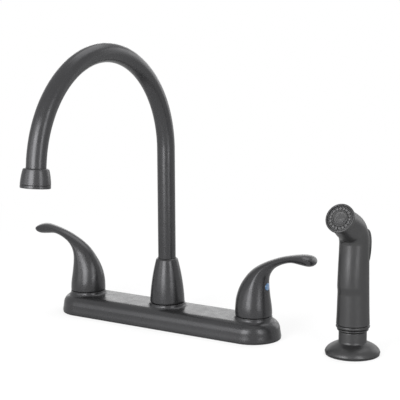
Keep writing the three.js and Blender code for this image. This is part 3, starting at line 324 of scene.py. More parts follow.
white_plastic = finish("white_plastic", (0.72, 0.71, 0.67), 0.42, drift=0.03,
                       grain=1200.0, relief=0.00001)
ceramic = finish("ceramic", (0.80, 0.78, 0.72), 0.20, drift=0.02, grain=1500.0, relief=0.000004)
cold_blue = finish("cold_blue", (0.036, 0.125, 0.265), 0.28, drift=0.05, grain=900.0,
                   relief=0.000004, Coat_Weight=0.6, Coat_Roughness=0.08)
hot_red = finish("hot_red", (0.520, 0.030, 0.022), 0.28, drift=0.05, grain=900.0,
                 relief=0.000004, Coat_Weight=0.6, Coat_Roughness=0.08)
print("materials so far:", len(bpy.data.materials))

# %% [markdown]
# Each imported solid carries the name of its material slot. It keeps its mesh as it is
# and only gets the finish of that slot, so also the pieces inside the valves look like
# what they are when the tap is taken apart.

# %% Finishes for the solids
slot_finish = {
    "black_coat": dark_coat, "brass": brass, "copper": copper, "steel": steel,
    "rubber": rubber, "white_plastic": white_plastic, "dark_plastic": dark_moulding,
    "ceramic": ceramic, "hot_red": hot_red, "cold_blue": cold_blue,
}
slot_nodes = {slot: [] for slot in slot_finish}
for node, solid in frame["nodes"].items():
    slot = solid.data.materials[0].name.split(".")[0]
    slot_nodes[slot].append(node)
    solid.data.materials.clear()
    solid.data.materials.append(slot_finish[slot])
print("finishes on solids:", {slot: len(nodes) for slot, nodes in slot_nodes.items()})

# %% [markdown]
# ## Shapes as tables of points
# Every new piece is a table of points: along the rows the shape grows, and along the
# columns it goes round. Neighbouring points make a four-sided face. A closed outline
# that is carried round an axis needs no ends at all, and a shape that ends in a pole
# has its doubles merged, so every skin is closed. The normals are worked out again
# after that, so that all faces point outwards.


# %% From tables to a mesh
def patch(table, along=False):
    """Points and faces of a table (rows, columns, 3) whose last column joins the first
    one; with along, its last row joins the first row too."""
    rows, columns = table.shape[:2]
    i, j = np.meshgrid(np.arange(rows - (not along)), np.arange(columns), indexing="ij")
    below, beside = (i + 1) % rows, (j + 1) % columns
    i, below = i * columns, below * columns
    faces = np.stack([i + j, i + beside, below + beside, below + j], axis=-1)
    return table.reshape(-1, 3), faces.reshape(-1, 4)


def pole(point, columns):
    """A row of a table whose points all lie in one place, which closes a shape."""
    return np.broadcast_to(point, (1, columns, 3))


def mesh_of(name, patches):
    """One mesh from patches in millimetres: doubles merged, normals outwards."""
    points, faces, first = [], [], 0
    for spots, quads in patches:
        points.append(spots)
        faces.append(quads + first)
        first += len(spots)
    mesh = bpy.data.meshes.new(name)
    mesh.from_pydata(np.concatenate(points) * MM, [], np.concatenate(faces).tolist())
    work = bmesh.new()
    work.from_mesh(mesh)
    bmesh.ops.remove_doubles(work, verts=work.verts, dist=2e-7)
    bmesh.ops.dissolve_degenerate(work, dist=1e-7, edges=work.edges)
    bmesh.ops.recalc_face_normals(work, faces=work.faces)
    work.to_mesh(mesh)
    work.free()
    return mesh


def shade(mesh, crisp):
    """Edges that bend by more than crisp degrees stay sharp, the rest looks smooth."""
    mesh.shade_smooth()
    mesh.set_sharp_from_angle(angle=math.radians(crisp))


def dress(thing, body, node):
    """Ties a piece to its body, hides the solid that it stands for, and prints both."""
    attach(thing, body)
    if node:
        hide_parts(node)
    low, high = thing.bound_box[0], thing.bound_box[6]
    size = [round((b - a) / MM, 1) for a, b in zip(low, high)]
    print(f"{thing.name}: {len(thing.data.polygons)} faces, {size} mm, on {body}")


def piece(name, patches, coat, body=None, node=None, crisp=32):
    """A finished object. With a body it rides on it and stands for the solid node."""
    mesh = mesh_of(name, patches)
    shade(mesh, crisp)
    mesh.materials.append(coat)
    thing = bpy.data.objects.new(name, mesh)
    scene.collection.objects.link(thing)
    if body:
        dress(thing, body, node)
    return thing


# %% Outlines and turned shapes
def rounded(corners, steps=5):
    """A closed outline from corners (across, height, rounding): each corner is cut
    back by its rounding on both sides and bridged by a quadratic curve, whose points
    are (1-t)^2 start + 2t(1-t) corner + t^2 end."""
    given = np.array([c[:2] for c in corners], float)
    soft = np.array([c[2] if len(c) > 2 else 0.0 for c in corners])
    to_last = np.roll(given, 1, axis=0) - given
    to_next = np.roll(given, -1, axis=0) - given
    to_last /= np.linalg.norm(to_last, axis=1, keepdims=True)
    to_next /= np.linalg.norm(to_next, axis=1, keepdims=True)
    start, end = given + to_last * soft[:, None], given + to_next * soft[:, None]
    start, given, end = start[:, None], given[:, None], end[:, None]
    t = np.linspace(0, 1, steps)[None, :, None]
    out = ((1 - t) ** 2 * start + 2 * t * (1 - t) * given + t**2 * end).reshape(-1, 2)
    keep = np.linalg.norm(out - np.roll(out, 1, axis=0), axis=1) > 1e-6
    return out[keep]


def curve(points, steps):
    """Points along a Bezier curve of any degree: each control point weighs
    n!/(k!(n-k)!) t^k (1-t)^(n-k)."""
    points = np.array(points, float)
    n = len(points) - 1
    t = np.linspace(0, 1, steps)
    weights = [math.comb(n, k) * t**k * (1 - t) ** (n - k) for k in range(n + 1)]
    return np.stack(weights, 1) @ points


def angles(sides):
    """The angles of so many even steps round a circle."""
    return np.linspace(0, 2 * np.pi, sides, endpoint=False)


def around(r, z, a, centre):
    """Points at radius r, height z and angle a about the upright axis through centre:
    x = cx + r cos a, y = cy + r sin a."""
    return np.stack([centre[0] + r * np.cos(a), centre[1] + r * np.sin(a), z + 0 * a], axis=-1)


def turn(outline, centre=(0, 0), sides=96):
    """The table of an outline (radius, height) carried round the upright axis."""
    outline = np.asarray(outline, float)
    return around(outline[:, :1], outline[:, 1:2], angles(sides), centre)


def lathe(outline, centre=(0, 0), sides=96):
    """The patch of a closed outline carried round: a ring, a cup or a sleeve."""
    return patch(turn(outline, centre, sides), along=True)


def rod(radius, low, high, centre=(0, 0), sides=64):
    """A plain round cutter or pin: two end discs and the wall between them."""
    return patch(turn([(0, low), (radius, low), (radius, high), (0, high)], centre, sides))


def block(x, y, z, place=(0, 0)):
    """A square cutter from its ranges along x, y and z, about an upright axis."""
    spots = [[place[0] + i, place[1] + j, k] for i in x for j in y for k in z]
    return np.array(spots, float), np.array([
        [0, 1, 3, 2], [4, 6, 7, 5], [0, 4, 5, 1], [2, 3, 7, 6], [0, 2, 6, 4], [1, 5, 7, 3]])


def laid(patched, axis, place):
    """The same patch with its upright axis laid along axis and its foot at place."""
    spots, faces = patched
    axis = np.array(axis, float) / np.linalg.norm(axis)
    side = np.cross([0, 1, 0] if abs(axis[1]) < 0.9 else [1, 0, 0], axis)
    side /= np.linalg.norm(side)
    frame_of = np.stack([side, np.cross(axis, side), axis])
    return spots @ frame_of + np.array(place, float), faces


def carve(thing, cutters, crisp=32, at_once=False):
    """Takes the cutters' solids out of a piece and bakes the result. One Boolean after
    the other is quick; at_once does them in one, which is slower but exact where many
    cuts meet. Then points nearer than a micrometre merge, and pinholes are closed."""
    near, tiny = 1e-6, 5e-7  # metres
    shelf = bpy.data.collections.new("cutters")
    scene.collection.children.link(shelf)
    for number, patches in enumerate(cutters):
        tool = bpy.data.objects.new(f"cutter_{number}", mesh_of("cutter", [patches]))
        shelf.objects.link(tool)
        if not at_once:
            cut = thing.modifiers.new("cut", "BOOLEAN")
            cut.operation, cut.solver, cut.object = "DIFFERENCE", "EXACT", tool
    if at_once:
        cut = thing.modifiers.new("cut", "BOOLEAN")
        cut.operation, cut.solver = "DIFFERENCE", "EXACT"
        cut.operand_type, cut.collection = "COLLECTION", shelf
    graph = bpy.context.evaluated_depsgraph_get()
    baked = bpy.data.meshes.new_from_object(thing.evaluated_get(graph))
    thing.modifiers.clear()
    work = bmesh.new()
    work.from_mesh(baked)
    bmesh.ops.remove_doubles(work, verts=work.verts, dist=near)
    bmesh.ops.dissolve_degenerate(work, dist=tiny, edges=work.edges)
    bmesh.ops.triangulate(work, faces=work.faces)
    bmesh.ops.dissolve_degenerate(work, dist=tiny, edges=work.edges)
    open_edges = [edge for edge in work.edges if edge.is_boundary]
    bmesh.ops.holes_fill(work, edges=open_edges, sides=0)
    bmesh.ops.triangulate(work, faces=[face for face in work.faces if len(face.verts) > 3])
    work.to_mesh(baked)
    work.free()
    thing.data = baked
    shade(baked, crisp)
    for tool in list(shelf.objects):
        bpy.data.objects.remove(tool)
    bpy.data.collections.remove(shelf)


# %% [markdown]
# ## The deck plate
# The plate is a hollow casting with a stadium outline: two straight sides and two half
# rounds. Its wall leans in a little, then a large fillet runs over into the flat top.
# It could be a box with a bevel, but the fillet has to keep its radius round the ends,
# so the skin is the outline drawn in by a distance, and distance and height follow the
# section of the casting. Three low rings carry the handles and the spout, and each
# meets the plate in a small hollow fillet that follows the plate's own height.

# %% Plate section and skin
plate_half_length, plate_half_width, plate_top = 128.85, 28.35, 19.2
plate_wall, plate_lean, plate_fillet = 2.2, 1.1, 10.5
plate_foot, sheet_top = 1.25, 1.2
handle_x = 101.6
hole_x = (-handle_x, 0, handle_x)
ring_radius, ring_top, ring_fillet, ring_bore = 18.4, 22.8, 2.8, 14.6


def stadium(inset, height, per_end=40, along=24):
    """Rings of a stadium drawn in by inset: half rounds about the two end centres and
    straight sides between them. inset and height are arrays of the same length."""
    inset, height = np.atleast_1d(inset)[:, None], np.atleast_1d(height)[:, None]
    a = np.linspace(-np.pi / 2, np.pi / 2, per_end)
    end_centre = plate_half_length - plate_half_width
    straight = np.linspace(end_centre, -end_centre, along + 2)[1:-1]
    radius = plate_half_width - inset
    x = np.concatenate(
        [end_centre + radius * np.cos(a), straight + 0 * radius,
         -end_centre - radius * np.cos(a), -straight + 0 * radius], axis=1)
    y = np.concatenate(
        [radius * np.sin(a), radius + 0 * straight,
         -radius * np.sin(a), -radius + 0 * straight], axis=1)
    return np.stack([x, y, height + 0 * x], axis=-1)


def plate_height(x, y):
    """Height of the plate's outside over the deck at (x, y): flat in the middle, a
    quarter round of the fillet's radius towards the rim."""
    past = np.maximum(np.abs(x) - (plate_half_length - plate_half_width), 0)
    inset = plate_half_width - np.hypot(past, y)
    short = np.clip(plate_lean + plate_fillet - inset, 0, plate_fillet)
    return plate_top - plate_fillet + np.sqrt(plate_fillet**2 - short**2)


bend = np.radians(np.linspace(0, 90, 15))
outer_edge = np.c_[
    plate_lean + plate_fillet * (1 - np.cos(bend)),
    plate_top - plate_fillet + plate_fillet * np.sin(bend),
]
inner_radius = plate_fillet - plate_wall
inner_edge = np.c_[
    plate_wall + plate_lean + inner_radius * (1 - np.cos(bend)),
    plate_top - plate_fillet + inner_radius * np.sin(bend),
]
section = np.concatenate([
    [(plate_half_width, plate_top), (22, plate_top), (16, plate_top)],
    outer_edge[::-1],
    [(0.5, 5.0), (0.03, 2.1), (0.06, 1.5), (0.3, plate_foot), (1.8, plate_foot)],
    [(plate_wall, 2.0), (plate_wall + 0.5, 5.0)],
    inner_edge,
    [(16, plate_top - plate_wall), (plate_half_width, plate_top - plate_wall)],
])
plate = piece("deck_plate_casting", [patch(stadium(section[:, 0], section[:, 1]))], dark_coat)
carve(plate, [rod(ring_bore, 12, 24, (x, 0)) for x in hole_x])

# %% [markdown]
# The rings are one piece of the same casting. A narrow rib at the bore reaches a little
# over the ring's top, which hides the brass behind the seam under each handle.

# %% The three rings of the plate
def ring_patch(centre_x):
    """One raised ring: a closed outline (radius, height) carried round, where the
    hollow fillet's height is taken over the plate's own surface below it. Its last
    row dips into the plate, so that no gap shows."""
    sides, soft, depth = 128, 0.7, 1.2
    a = angles(sides)
    t = np.linspace(0, 1, 9)[:, None]
    hollow = ring_radius + ring_fillet * (1 - np.cos(t * np.pi / 2))
    over = ring_fillet * (1 - np.sin(t * np.pi / 2))
    x, y = centre_x + hollow * np.cos(a), hollow * np.sin(a)
    fillet = np.stack([x, y, plate_height(x, y) + over], axis=-1)
    dip = fillet[-1:] - np.array([0, 0, depth])
    lip = curve([(ring_radius - soft, ring_top), (ring_radius, ring_top),
                 (ring_radius, ring_top - soft)], 6)
    rib_edge, rib_top = ring_bore + 0.9, ring_top + 0.4
    rib = [(ring_bore, 17.4), (ring_bore, rib_top), (rib_edge, rib_top), (rib_edge, ring_top)]
    above = turn([*rib, *lip], (centre_x, 0), sides)
    return patch(np.concatenate([above, fillet, dip]), along=True)


piece("plate_rings", [ring_patch(x) for x in hole_x], dark_coat, "base",
      crisp=50)
dress(plate, "base", "deck_plate")

# %% Rubber sheet under the plate
sheet = np.array([
    (plate_half_width, 0), (0.5, 0), (0.4, 0.1), (0.4, 1.1), (0.5, sheet_top),
    (plate_half_width, sheet_top),
])
gasket = piece("deck_sheet", [patch(stadium(sheet[:, 0], sheet[:, 1]))], rubber)
carve(gasket, [rod(10.5, -2, 3, (x, 0)) for x in hole_x])
dress(gasket, "base", "deck_gasket")

# %% [markdown]
# ## The two handles
# A handle starts as a round hub and leans over into a lever that ends in a broad thumb
# paddle. Two lines in the handle's own upright plane give its side view: the top line,
# which runs from the hub's back over to the tip, and the under line, from the hub's
# front along the hollow under the lever. Every section spans the two lines. Its two
# halves meet in a ridge that is invisible at the round foot, becomes an edge along the
# lever and softens again in the blunt paddle. A smooth cubic curve joins the stations.

# %% Side view and sections of a handle
handle_foot = 23.4
# top line (out, height), under line (out, height), half width, where the ridge lies
# between the two lines, and how crisp it is
stations = np.array([
    [-18.25, 23.4, 18.25, 23.4, 18.25, 0.50, 0.00],
    [-18.25, 31.3, 17.95, 30.9, 17.95, 0.50, 0.00],
    [-17.30, 41.1, 16.75, 40.4, 16.35, 0.51, 0.10],
    [-13.90, 51.6, 15.95, 49.4, 14.30, 0.53, 0.40],
    [-8.60, 60.2, 15.75, 57.4, 12.40, 0.55, 0.75],
    [-2.20, 67.5, 16.90, 63.5, 10.80, 0.54, 0.90],
    [6.20, 73.7, 19.90, 68.9, 9.30, 0.50, 1.00],
    [15.60, 78.6, 24.60, 73.3, 8.20, 0.45, 1.00],
    [25.00, 82.5, 30.60, 76.6, 7.60, 0.41, 1.00],
    [33.40, 85.2, 36.40, 78.7, 7.35, 0.37, 1.00],
    [41.60, 87.2, 42.80, 79.8, 7.55, 0.31, 1.00],
    [49.00, 88.6, 49.10, 79.3, 8.40, 0.27, 0.90],
    [55.00, 89.2, 54.50, 78.7, 9.40, 0.25, 0.70],
    [60.00, 88.7, 59.80, 78.3, 9.90, 0.25, 0.50],
    [63.40, 87.3, 63.60, 78.9, 8.80, 0.28, 0.35],
    [65.60, 85.3, 65.80, 80.1, 6.20, 0.34, 0.20],
    [66.70, 83.4, 66.80, 81.4, 3.00, 0.42, 0.10],
])


def smooth_rows(table, steps):
    """A natural cubic through the rows of a table, as a function of their number: its
    second derivatives m solve m[k-1] + 4m[k] + m[k+1] = 6(y[k-1] - 2y[k] + y[k+1])."""
    n = len(table)
    system = np.diag(np.full(n, 4.0))
    system += np.diag(np.ones(n - 1), 1) + np.diag(np.ones(n - 1), -1)
    system[0, :2], system[-1, -2:] = (1, 0), (0, 1)
    right_side = np.zeros_like(table)
    right_side[1:-1] = 6 * (table[:-2] - 2 * table[1:-1] + table[2:])
    m = np.linalg.solve(system, right_side)
    where = np.linspace(0, n - 1, steps)
    k = np.minimum(where.astype(int), n - 2)
    t = (where - k)[:, None]
    s = 1 - t
    return (s * table[k] + t * table[k + 1]
            + ((s**3 - s) * m[k] + (t**3 - t) * m[k + 1]) / 6)


def handle_patch(side, sides=96):
    """The handle's skin. At angle a round a section the point lies half width times
    cos a to the side; above the ridge it rises towards the top line by sin a to the
    power 1 + keen_up crisp, below it falls towards the under line by the power 1 +
    keen_down crisp. A power of 1 is round, and 2 gives a thin edge. The foot has a
    narrow chamfer. side is -1 for the hot handle."""
    keen_up, keen_down = 0.6, 0.3
    chamfer_height, chamfer_foot, chamfer_head = 0.25, 0.975, 0.995  # mm, shares of the foot
    rows = smooth_rows(stations, 150)
    a = angles(sides)
    top, under = rows[:, None, 0:2], rows[:, None, 2:4]
    half, share, crisp = rows[:, 4:5], rows[:, 5:6], np.clip(rows[:, 6:7], 0, 1)
    ridge = top + (under - top) * share[:, :, None]
    up = np.maximum(np.sin(a), 0) ** (1 + crisp * keen_up)
    down = np.maximum(-np.sin(a), 0) ** (1 + crisp * keen_down)
    out = ridge + (top - ridge) * up[:, :, None] + (under - ridge) * down[:, :, None]
    table = np.stack([out[..., 0], half * np.cos(a), out[..., 1]], axis=-1)
    foot = table[0].mean(axis=0)
    edge = foot + (table[0] - foot) * chamfer_foot
    lifted = (foot + (table[1] - foot) * chamfer_head) * [1, 1, 0]
    lifted = lifted + [0, 0, handle_foot + chamfer_height]
    table = np.concatenate([pole(foot, sides), edge[None], lifted[None], table[1:],
                            pole(table[-1].mean(axis=0), sides)])
    table[..., :2] *= side
    table[..., 0] += side * handle_x
    return patch(table)


# %% Both handles, with their bores
both_sides = (("hot", -1), ("cold", 1))
button_z, button_radius, button_seat = 53.0, 3.8, 13.28
nut_room, stem_bore, screw_bore = (15.95, 20, 35.8), (4.4, 30, 57.1), (2.6, 0, 18)
play = 0.2  # round the button and behind it

for side_name, side in both_sides:
    axis, outwards = (side * handle_x, 0), (side, 0, 0)
    seat = (side * (handle_x + button_seat - play), 0, button_z)
    lever = piece(f"{side_name}_lever", [handle_patch(side)], dark_coat)
    carve(lever, [
        rod(*nut_room, axis),
        rod(*stem_bore, axis),
        laid(rod(*screw_bore, sides=32), outwards, (*axis, button_z)),
        laid(rod(button_radius + play, 0, 9), outwards, seat),
    ], crisp=40)
    dress(lever, f"{side_name}_lever", f"{side_name}_handle")

# %% [markdown]
# The index buttons are small domed caps of clear-coated plastic, blue for cold and red
# for hot, let into the outer side of each hub. They close the hole of the set screw.

# %% Index buttons
cap_outline = [(0, 0), (button_radius - 0.2, 0), (button_radius, 0.2), (button_radius, 2.1)]
cap_outline += list(curve([(3.8, 2.1), (3.75, 2.45), (3.2, 2.6), (1.8, 2.8), (0, 2.82)], 9))
for (side_name, side), colour in zip(both_sides, ("hot_red", "cold_blue")):
    place = (side * (handle_x + button_seat), 0, button_z)
    cap = laid(patch(turn(cap_outline, sides=64)), (side, 0, 0), place)
    piece(f"{side_name}_button", [cap], slot_finish[colour], f"{side_name}_lever",
          f"{side_name}_index_button")

# %% [markdown]
# ## The bell, the spout and its outlet
# The bell that holds the spout down is turned: an ogive, steep at its foot and drawn in
# towards the tube, with a small chamfer at its top that leaves a dark line round the
# tube. The tube goes straight up and then forwards through a half turn. A bevelled
# curve object could make it, but as a table the tube also gets its inner wall, so it is
# a real pipe with open ends.

# %% Bell
bell_side = curve([(17.7, 24.2), (16.7, 46.07), (11.2, 67.0)], 40)
bell_outline = np.concatenate([
    [(12.6, 23.4)], curve([(17.0, 23.4), (17.6, 23.4), (17.7, 24.2)], 5), bell_side[1:-1],
    curve([(11.25, 66.8), (11.15, 67.4), (10.7, 67.9)], 5),
    curve([(9.9, 68.7), (9.6, 68.9), (9.4, 68.9)], 4), [(9.25, 68.7)],
    [(9.25, 45.8), (12.6, 45.8)],
])
piece("bell", [lathe(bell_outline)], dark_coat, "base", "spout_bell")

# %% Spout tube
tube_radius, tube_wall, tube_foot = 8.95, 1.2, 47.0
spout_rise, bend_radius = 179.7, 101.1
spout_lean, spout_straight = math.radians(6), 10.1
outlet_way = np.array([0, math.sin(spout_lean), math.cos(spout_lean)])  # back up the tube
bend_end = np.array([0, -bend_radius * (1 + math.cos(spout_lean)),
                     spout_rise + bend_radius * math.sin(spout_lean)])


def spout_table(radius, rows_up=40, rows_bend=120, sides=64):
    """Circles of a radius across the path: straight up to the rise, then tilted by an
    angle from 0 to a little less than a half turn, and straight on past its end."""
    up = np.linspace(tube_foot, spout_rise, rows_up, endpoint=False)
    bend = np.linspace(0, np.pi - spout_lean, rows_bend)
    way = np.concatenate([
        np.c_[0 * up, up],
        np.c_[bend_radius * (np.cos(bend) - 1), spout_rise + bend_radius * np.sin(bend)],
        (bend_end - spout_straight * outlet_way)[None, 1:],
    ])
    tilt = np.concatenate([0 * up, bend, bend[-1:]])[:, None]
    a = angles(sides)
    across = radius * np.sin(a)
    return np.stack([
        radius * np.cos(a) + 0 * tilt,
        way[:, :1] + across * np.cos(tilt),
        way[:, 1:] + across * np.sin(tilt),
    ], axis=-1)


pipe = np.concatenate([spout_table(tube_radius), spout_table(tube_radius - tube_wall)[::-1]])
piece("spout_pipe", [patch(pipe, along=True)], dark_coat, "spout", "spout_tube",
      crisp=50)

# %% [markdown]
# The tube ends leaning a little forwards, and the cup and the aerator sit on that
# leaning line. Both are turned shapes with heights counted from the end of the bend,
# laid along the line afterwards. The cup flares over a soft shoulder, and the aerator's
# ring below it has two flats for a spanner, which a Boolean takes off.

# %% Outlet cup and aerator
def at_outlet(patched):
    """Lays a patch, made upright about the origin, along the end of the spout."""
    return laid(patched, outlet_way, bend_end)


cup_outline = np.concatenate([
    [(9.45, -4.9)], curve([(9.6, -4.5), (9.7, -4.5), (9.9, -4.5)], 3),
    curve([(10.6, -4.5), (11.1, -4.6), (11.5, -5.4)], 6),
    curve([(11.5, -5.4), (13.0, -10.5), (13.5, -18.2)], 24)[1:],
    curve([(13.5, -18.3), (13.5, -18.7), (13.1, -18.7)], 4),
    [(11.6, -18.7), (11.6, -11.9), (7.75, -11.9), (7.75, -10.3), (9.45, -10.3)],
])
piece("outlet_flare", [at_outlet(lathe(cup_outline))], dark_coat, "spout", "outlet_cup")

ring_outline = rounded([
    (8.7, -21.6, 0.2), (13.5, -21.6, 0.6), (13.5, -18.9, 0.25), (11.4, -18.9), (11.4, -13.5),
    (9.9, -13.5), (9.9, -20.4), (8.7, -20.4),
])
ring = piece("aerator_ring", [at_outlet(lathe(ring_outline))], dark_coat)
carve(ring, [at_outlet(block(x, (-6, 6), (-23, -19.9))) for x in ((-16, -13), (13, 16))])
dress(ring, "spout", "aerator_housing")

# %% [markdown]
# ## The sprayer's holder
# The holder is a moulded dome with a short neck that the sprayer drops into, on its own
# rubber washer. Below the deck it has a threaded shank and a nut. It is all one turned
# outline, so a lathe table makes it, and its thread is the same table with a radius
# that winds up as it goes round.

# %% Holder
spray_x, spray_y = 207.6, 0.9
spray_axis = (spray_x, spray_y)


def winding(radius, low, high, pitch, depth, centre=(0, 0), sides=96):
    """The rows of an outside thread: r = radius - depth * |2 frac(z / pitch - a / 2 pi)
    - 1|, faded out to the core over half a turn at both ends."""
    rows = int((high - low) / pitch * 8)
    z = np.linspace(low, high, rows)[:, None]
    a = angles(sides)[None]
    groove = np.abs(2 * ((z / pitch - a / (2 * np.pi)) % 1.0) - 1)
    ends = np.clip(np.minimum(z - low, high - z) / (pitch / 2), 0, 1)
    return around(radius - depth * (1 - (1 - groove) * ends), z, a, centre)


dome = curve([(26, 2.4), (24.4, 7.8), (17.2, 9.6), (14, 11.6)], 40)
holder_top = np.concatenate([
    curve([(25.2, 1.4), (25.9, 1.4), (26, 2.4)], 5), dome[1:-1],
    curve([(14.0, 11.6), (13.3, 12.2), (13.2, 13.4)], 6),
    curve([(13.2, 21.6), (13.2, 22.6), (12.2, 22.6)], 6),
    curve([(10.5, 22.6), (9.9, 22.6), (9.9, 21.8)], 4), [(9.9, -30.0), (11.4, -30.0)],
])
holder_rows = np.concatenate([
    turn(holder_top, spray_axis, 96),
    winding(12.2, -29.4, 0.4, pitch=1.8, depth=0.8, centre=spray_axis),
    turn([(12.2, 0.9), (12.2, 1.4)], spray_axis, 96),
])
piece("holder_dome", [patch(holder_rows, along=True)], sprayer_coat, "base",
      "sprayer_holder")
washer_outline = rounded([(12.5, 0, 0.1), (25.5, 0, 0.3), (25.5, 1.2, 0.3), (12.5, 1.2, 0.1)])
piece("holder_washer", [lathe(washer_outline, spray_axis)], rubber, "base", "holder_gasket")

# %% [markdown]
# ## Below the deck
# What holds the tap down is turned brass: shanks with a pipe thread, six-sided nuts on
# plastic washers, the outlet for the sprayer's supply, and the two copper tubes that
# cross over from the valves to the middle. A nut is a table too: its radius is that of
# a six-sided prism, limited by a cone at both faces, which gives the curved chamfers.


# %% Nuts
def hexagon_rows(corner, low, high, sides=96, centre=(0, 0), chamfer=0.07):
    """Rows of a nut's outside. The prism's radius is flat / cos of the angle from the
    middle of the nearest side; the cone cuts it down to (1 - chamfer) corner at both
    faces and reaches the corners a short way in, at a slope of 32 degrees."""
    cone_slope = math.radians(32)
    a = angles(sides)[None]
    prism = corner * math.cos(math.pi / 6) / np.cos(a % (np.pi / 3) - np.pi / 6)
    depth = chamfer * corner * math.tan(cone_slope)
    into = np.linspace(0, 1, 5)
    z = np.concatenate([low + depth * into, high - depth * into[::-1]])[:, None]
    cone = corner * (1 - chamfer + chamfer * np.concatenate([into, into[::-1]]))[:, None]
    return around(np.minimum(prism, cone), z, a, centre)


def nut(corner, bore, low, high, centre):
    """A nut: the six-sided outside, closed by a bore with a small chamfer."""
    soft = 0.5
    inside = turn([(bore + soft, high), (bore, high - soft), (bore, low + soft),
                   (bore + soft, low)], centre)
    outside = hexagon_rows(corner, low, high, centre=centre)
    return patch(np.concatenate([outside, inside]), along=True)


# %% Shanks, their nuts and washers, and the copper tubes
copper_height, copper_start, copper_length = 9.4, 11.0, 79.8

for side_name, side in both_sides:
    axis = (side * handle_x, 0)
    inner = turn([(12.4, 21.0), (12.4, 30.5), (12.1, 30.8), (10.0, 30.8), (10.0, 4.8),
                  (6.4, 4.8), (6.4, -45.6), (6.8, -46.0), (9.3, -46.0)], axis)
    outer = turn([(10.3, 0.6), (10.3, 1.4), (15.3, 1.4), (15.6, 1.7), (15.6, 4.1), (15.3, 4.4),
                  (13.8, 4.4), (13.8, 20.0)], axis)
    thread = winding(10.3, -45.6, 0.2, pitch=1.814, depth=0.9, centre=axis)
    shank = np.concatenate([inner, thread, outer])
    casting = piece(f"{side_name}_shank", [patch(shank, along=True)], brass)
    socket, port = rod(5.6, 10.6, 17.8), rod(4.5, 8.5, 13.8)
    inwards, level = (-side, 0, 0), (*axis, copper_height)
    carve(casting, [laid(socket, inwards, level), laid(port, inwards, level)])
    dress(casting, "base", f"{side_name}_valve_body")
    piece(f"{side_name}_nut", [nut(18.0, 10.5, -21.6, -12.6, axis)], brass, "base",
          f"{side_name}_mounting_nut")
    disc = rounded([(10.5, -12.4, 0.2), (19, -12.4, 0.4), (19, -10, 0.4), (10.5, -10, 0.2)])
    piece(f"{side_name}_washer", [lathe(disc, axis)], dark_moulding, "base",
          f"{side_name}_mounting_washer")
    tube = lathe(rounded([(4.5, 0, 0.1), (5.4, 0, 0.1), (5.4, copper_length, 0.1),
                          (4.5, copper_length, 0.1)]), sides=48)
    start = (side * copper_start, 0, copper_height)
    piece(f"{side_name}_copper", [laid(tube, (side, 0, 0), start)], copper, "base",
          f"{side_name}_crossover_tube")

# %% Outlet for the supply, the holder's nut and the sprayer's end
nipple = np.concatenate([
    turn([(7.0, 1.2), (7.0, 3.5), (6.7, 3.8), (3.6, 3.8), (3.6, -29.7), (3.9, -30),
          (5.7, -30)]),
    winding(6.4, -29.7, -3.4, pitch=1.41, depth=0.6), hexagon_rows(9.6, -2.8, 1.2),
])
piece("nipple", [patch(nipple, along=True)], brass, "base", "spray_nipple")
piece("big_nut", [nut(19.6, 12.4, -19.0, -10.0, spray_axis)], brass, "base", "holder_nut")

coupling = np.concatenate([
    turn([(8.9, 2.4), (8.9, 29.8), (10.0, 29.8), (10.0, 51.7), (9.7, 52.0), (4.0, 52.0),
          (4.0, -7.7), (4.3, -8.0), (6.5, -8.0)], spray_axis),
    winding(7.3, -7.7, 0.8, pitch=1.41, depth=0.6, centre=spray_axis),
    turn([(7.3, 1.0)], spray_axis),
])
piece("hose_end", [patch(coupling, along=True)], brass, "sprayer", "hose_coupling")

# %% [markdown]
# Seen from below, the aerator shows a white disc with a ring of water holes round a
# middle one. The disc is turned, and a Boolean drills the thirteen holes.

# %% Inside of the outlet
insert = [(0, -20.2), (9.5, -20.2), (9.7, -20.0), (9.7, -13.9), (8.3, -13.9), (8.3, -18),
          (0, -18)]
sieve = piece("water_sieve", [at_outlet(patch(turn(insert)))], white_plastic)
middle_hole, outer_hole, hole_circle, hole_count = 1.6, 0.95, 6.0, 12
holes = [(0, 0, middle_hole)]
for k in range(hole_count):
    angle = 2 * math.pi * k / hole_count
    holes.append((hole_circle * math.cos(angle), hole_circle * math.sin(angle), outer_hole))
carve(sieve, [at_outlet(rod(r, -21, -17, (x, y), 24)) for x, y, r in holes], at_once=True)
dress(sieve, "spout", "aerator_insert")

# %% [markdown]
# ## The hand sprayer
# The sprayer's body is one moulding: an upright grip, an elbow and a short nose. It is
# a circle carried along a path that bends forwards, and its radius depends on both the
# height and the side: on the front it swells into a finger rest that ends in a ledge.
# A thumb lever sits in a pocket on its back. The pocket is cut with a Boolean, because
# its sharp rim can't be had from a smooth table.

# %% Body of the sprayer
body_foot, elbow_start, elbow_radius = 28.8, 105.8, 18.4
elbow_bend = math.radians(61)
nose_length, rim_height = 26.5, 3.4
foot_radius, top_radius, nose_radius = 15.8, 13.9, 12.4


def smoothstep(value, low, high):
    """0 below low, 1 above high, and 3t^2 - 2t^3 between them."""
    t = np.clip((value - low) / (high - low), 0, 1)
    return t * t * (3 - 2 * t)


def grip_radius(z, front):
    """Radius of the grip: a taper with the height to the power 0.7, and a finger rest
    whose swell grows over the ledge and dies out at the elbow. front is the cosine of
    the angle from the front."""
    up = np.clip((z - body_foot) / (elbow_start - body_foot), 0, 1)
    ledge_low, ledge_high, rest_full, rest_end, rest_height = 58.5, 66.5, 69, 109.8, 2.2
    taper = foot_radius + (top_radius - foot_radius) * up**0.7
    swell = smoothstep(z, ledge_low, ledge_high) * (1 - smoothstep(z, rest_full, rest_end))
    return taper + rest_height * swell * np.maximum(front, 0) ** 2


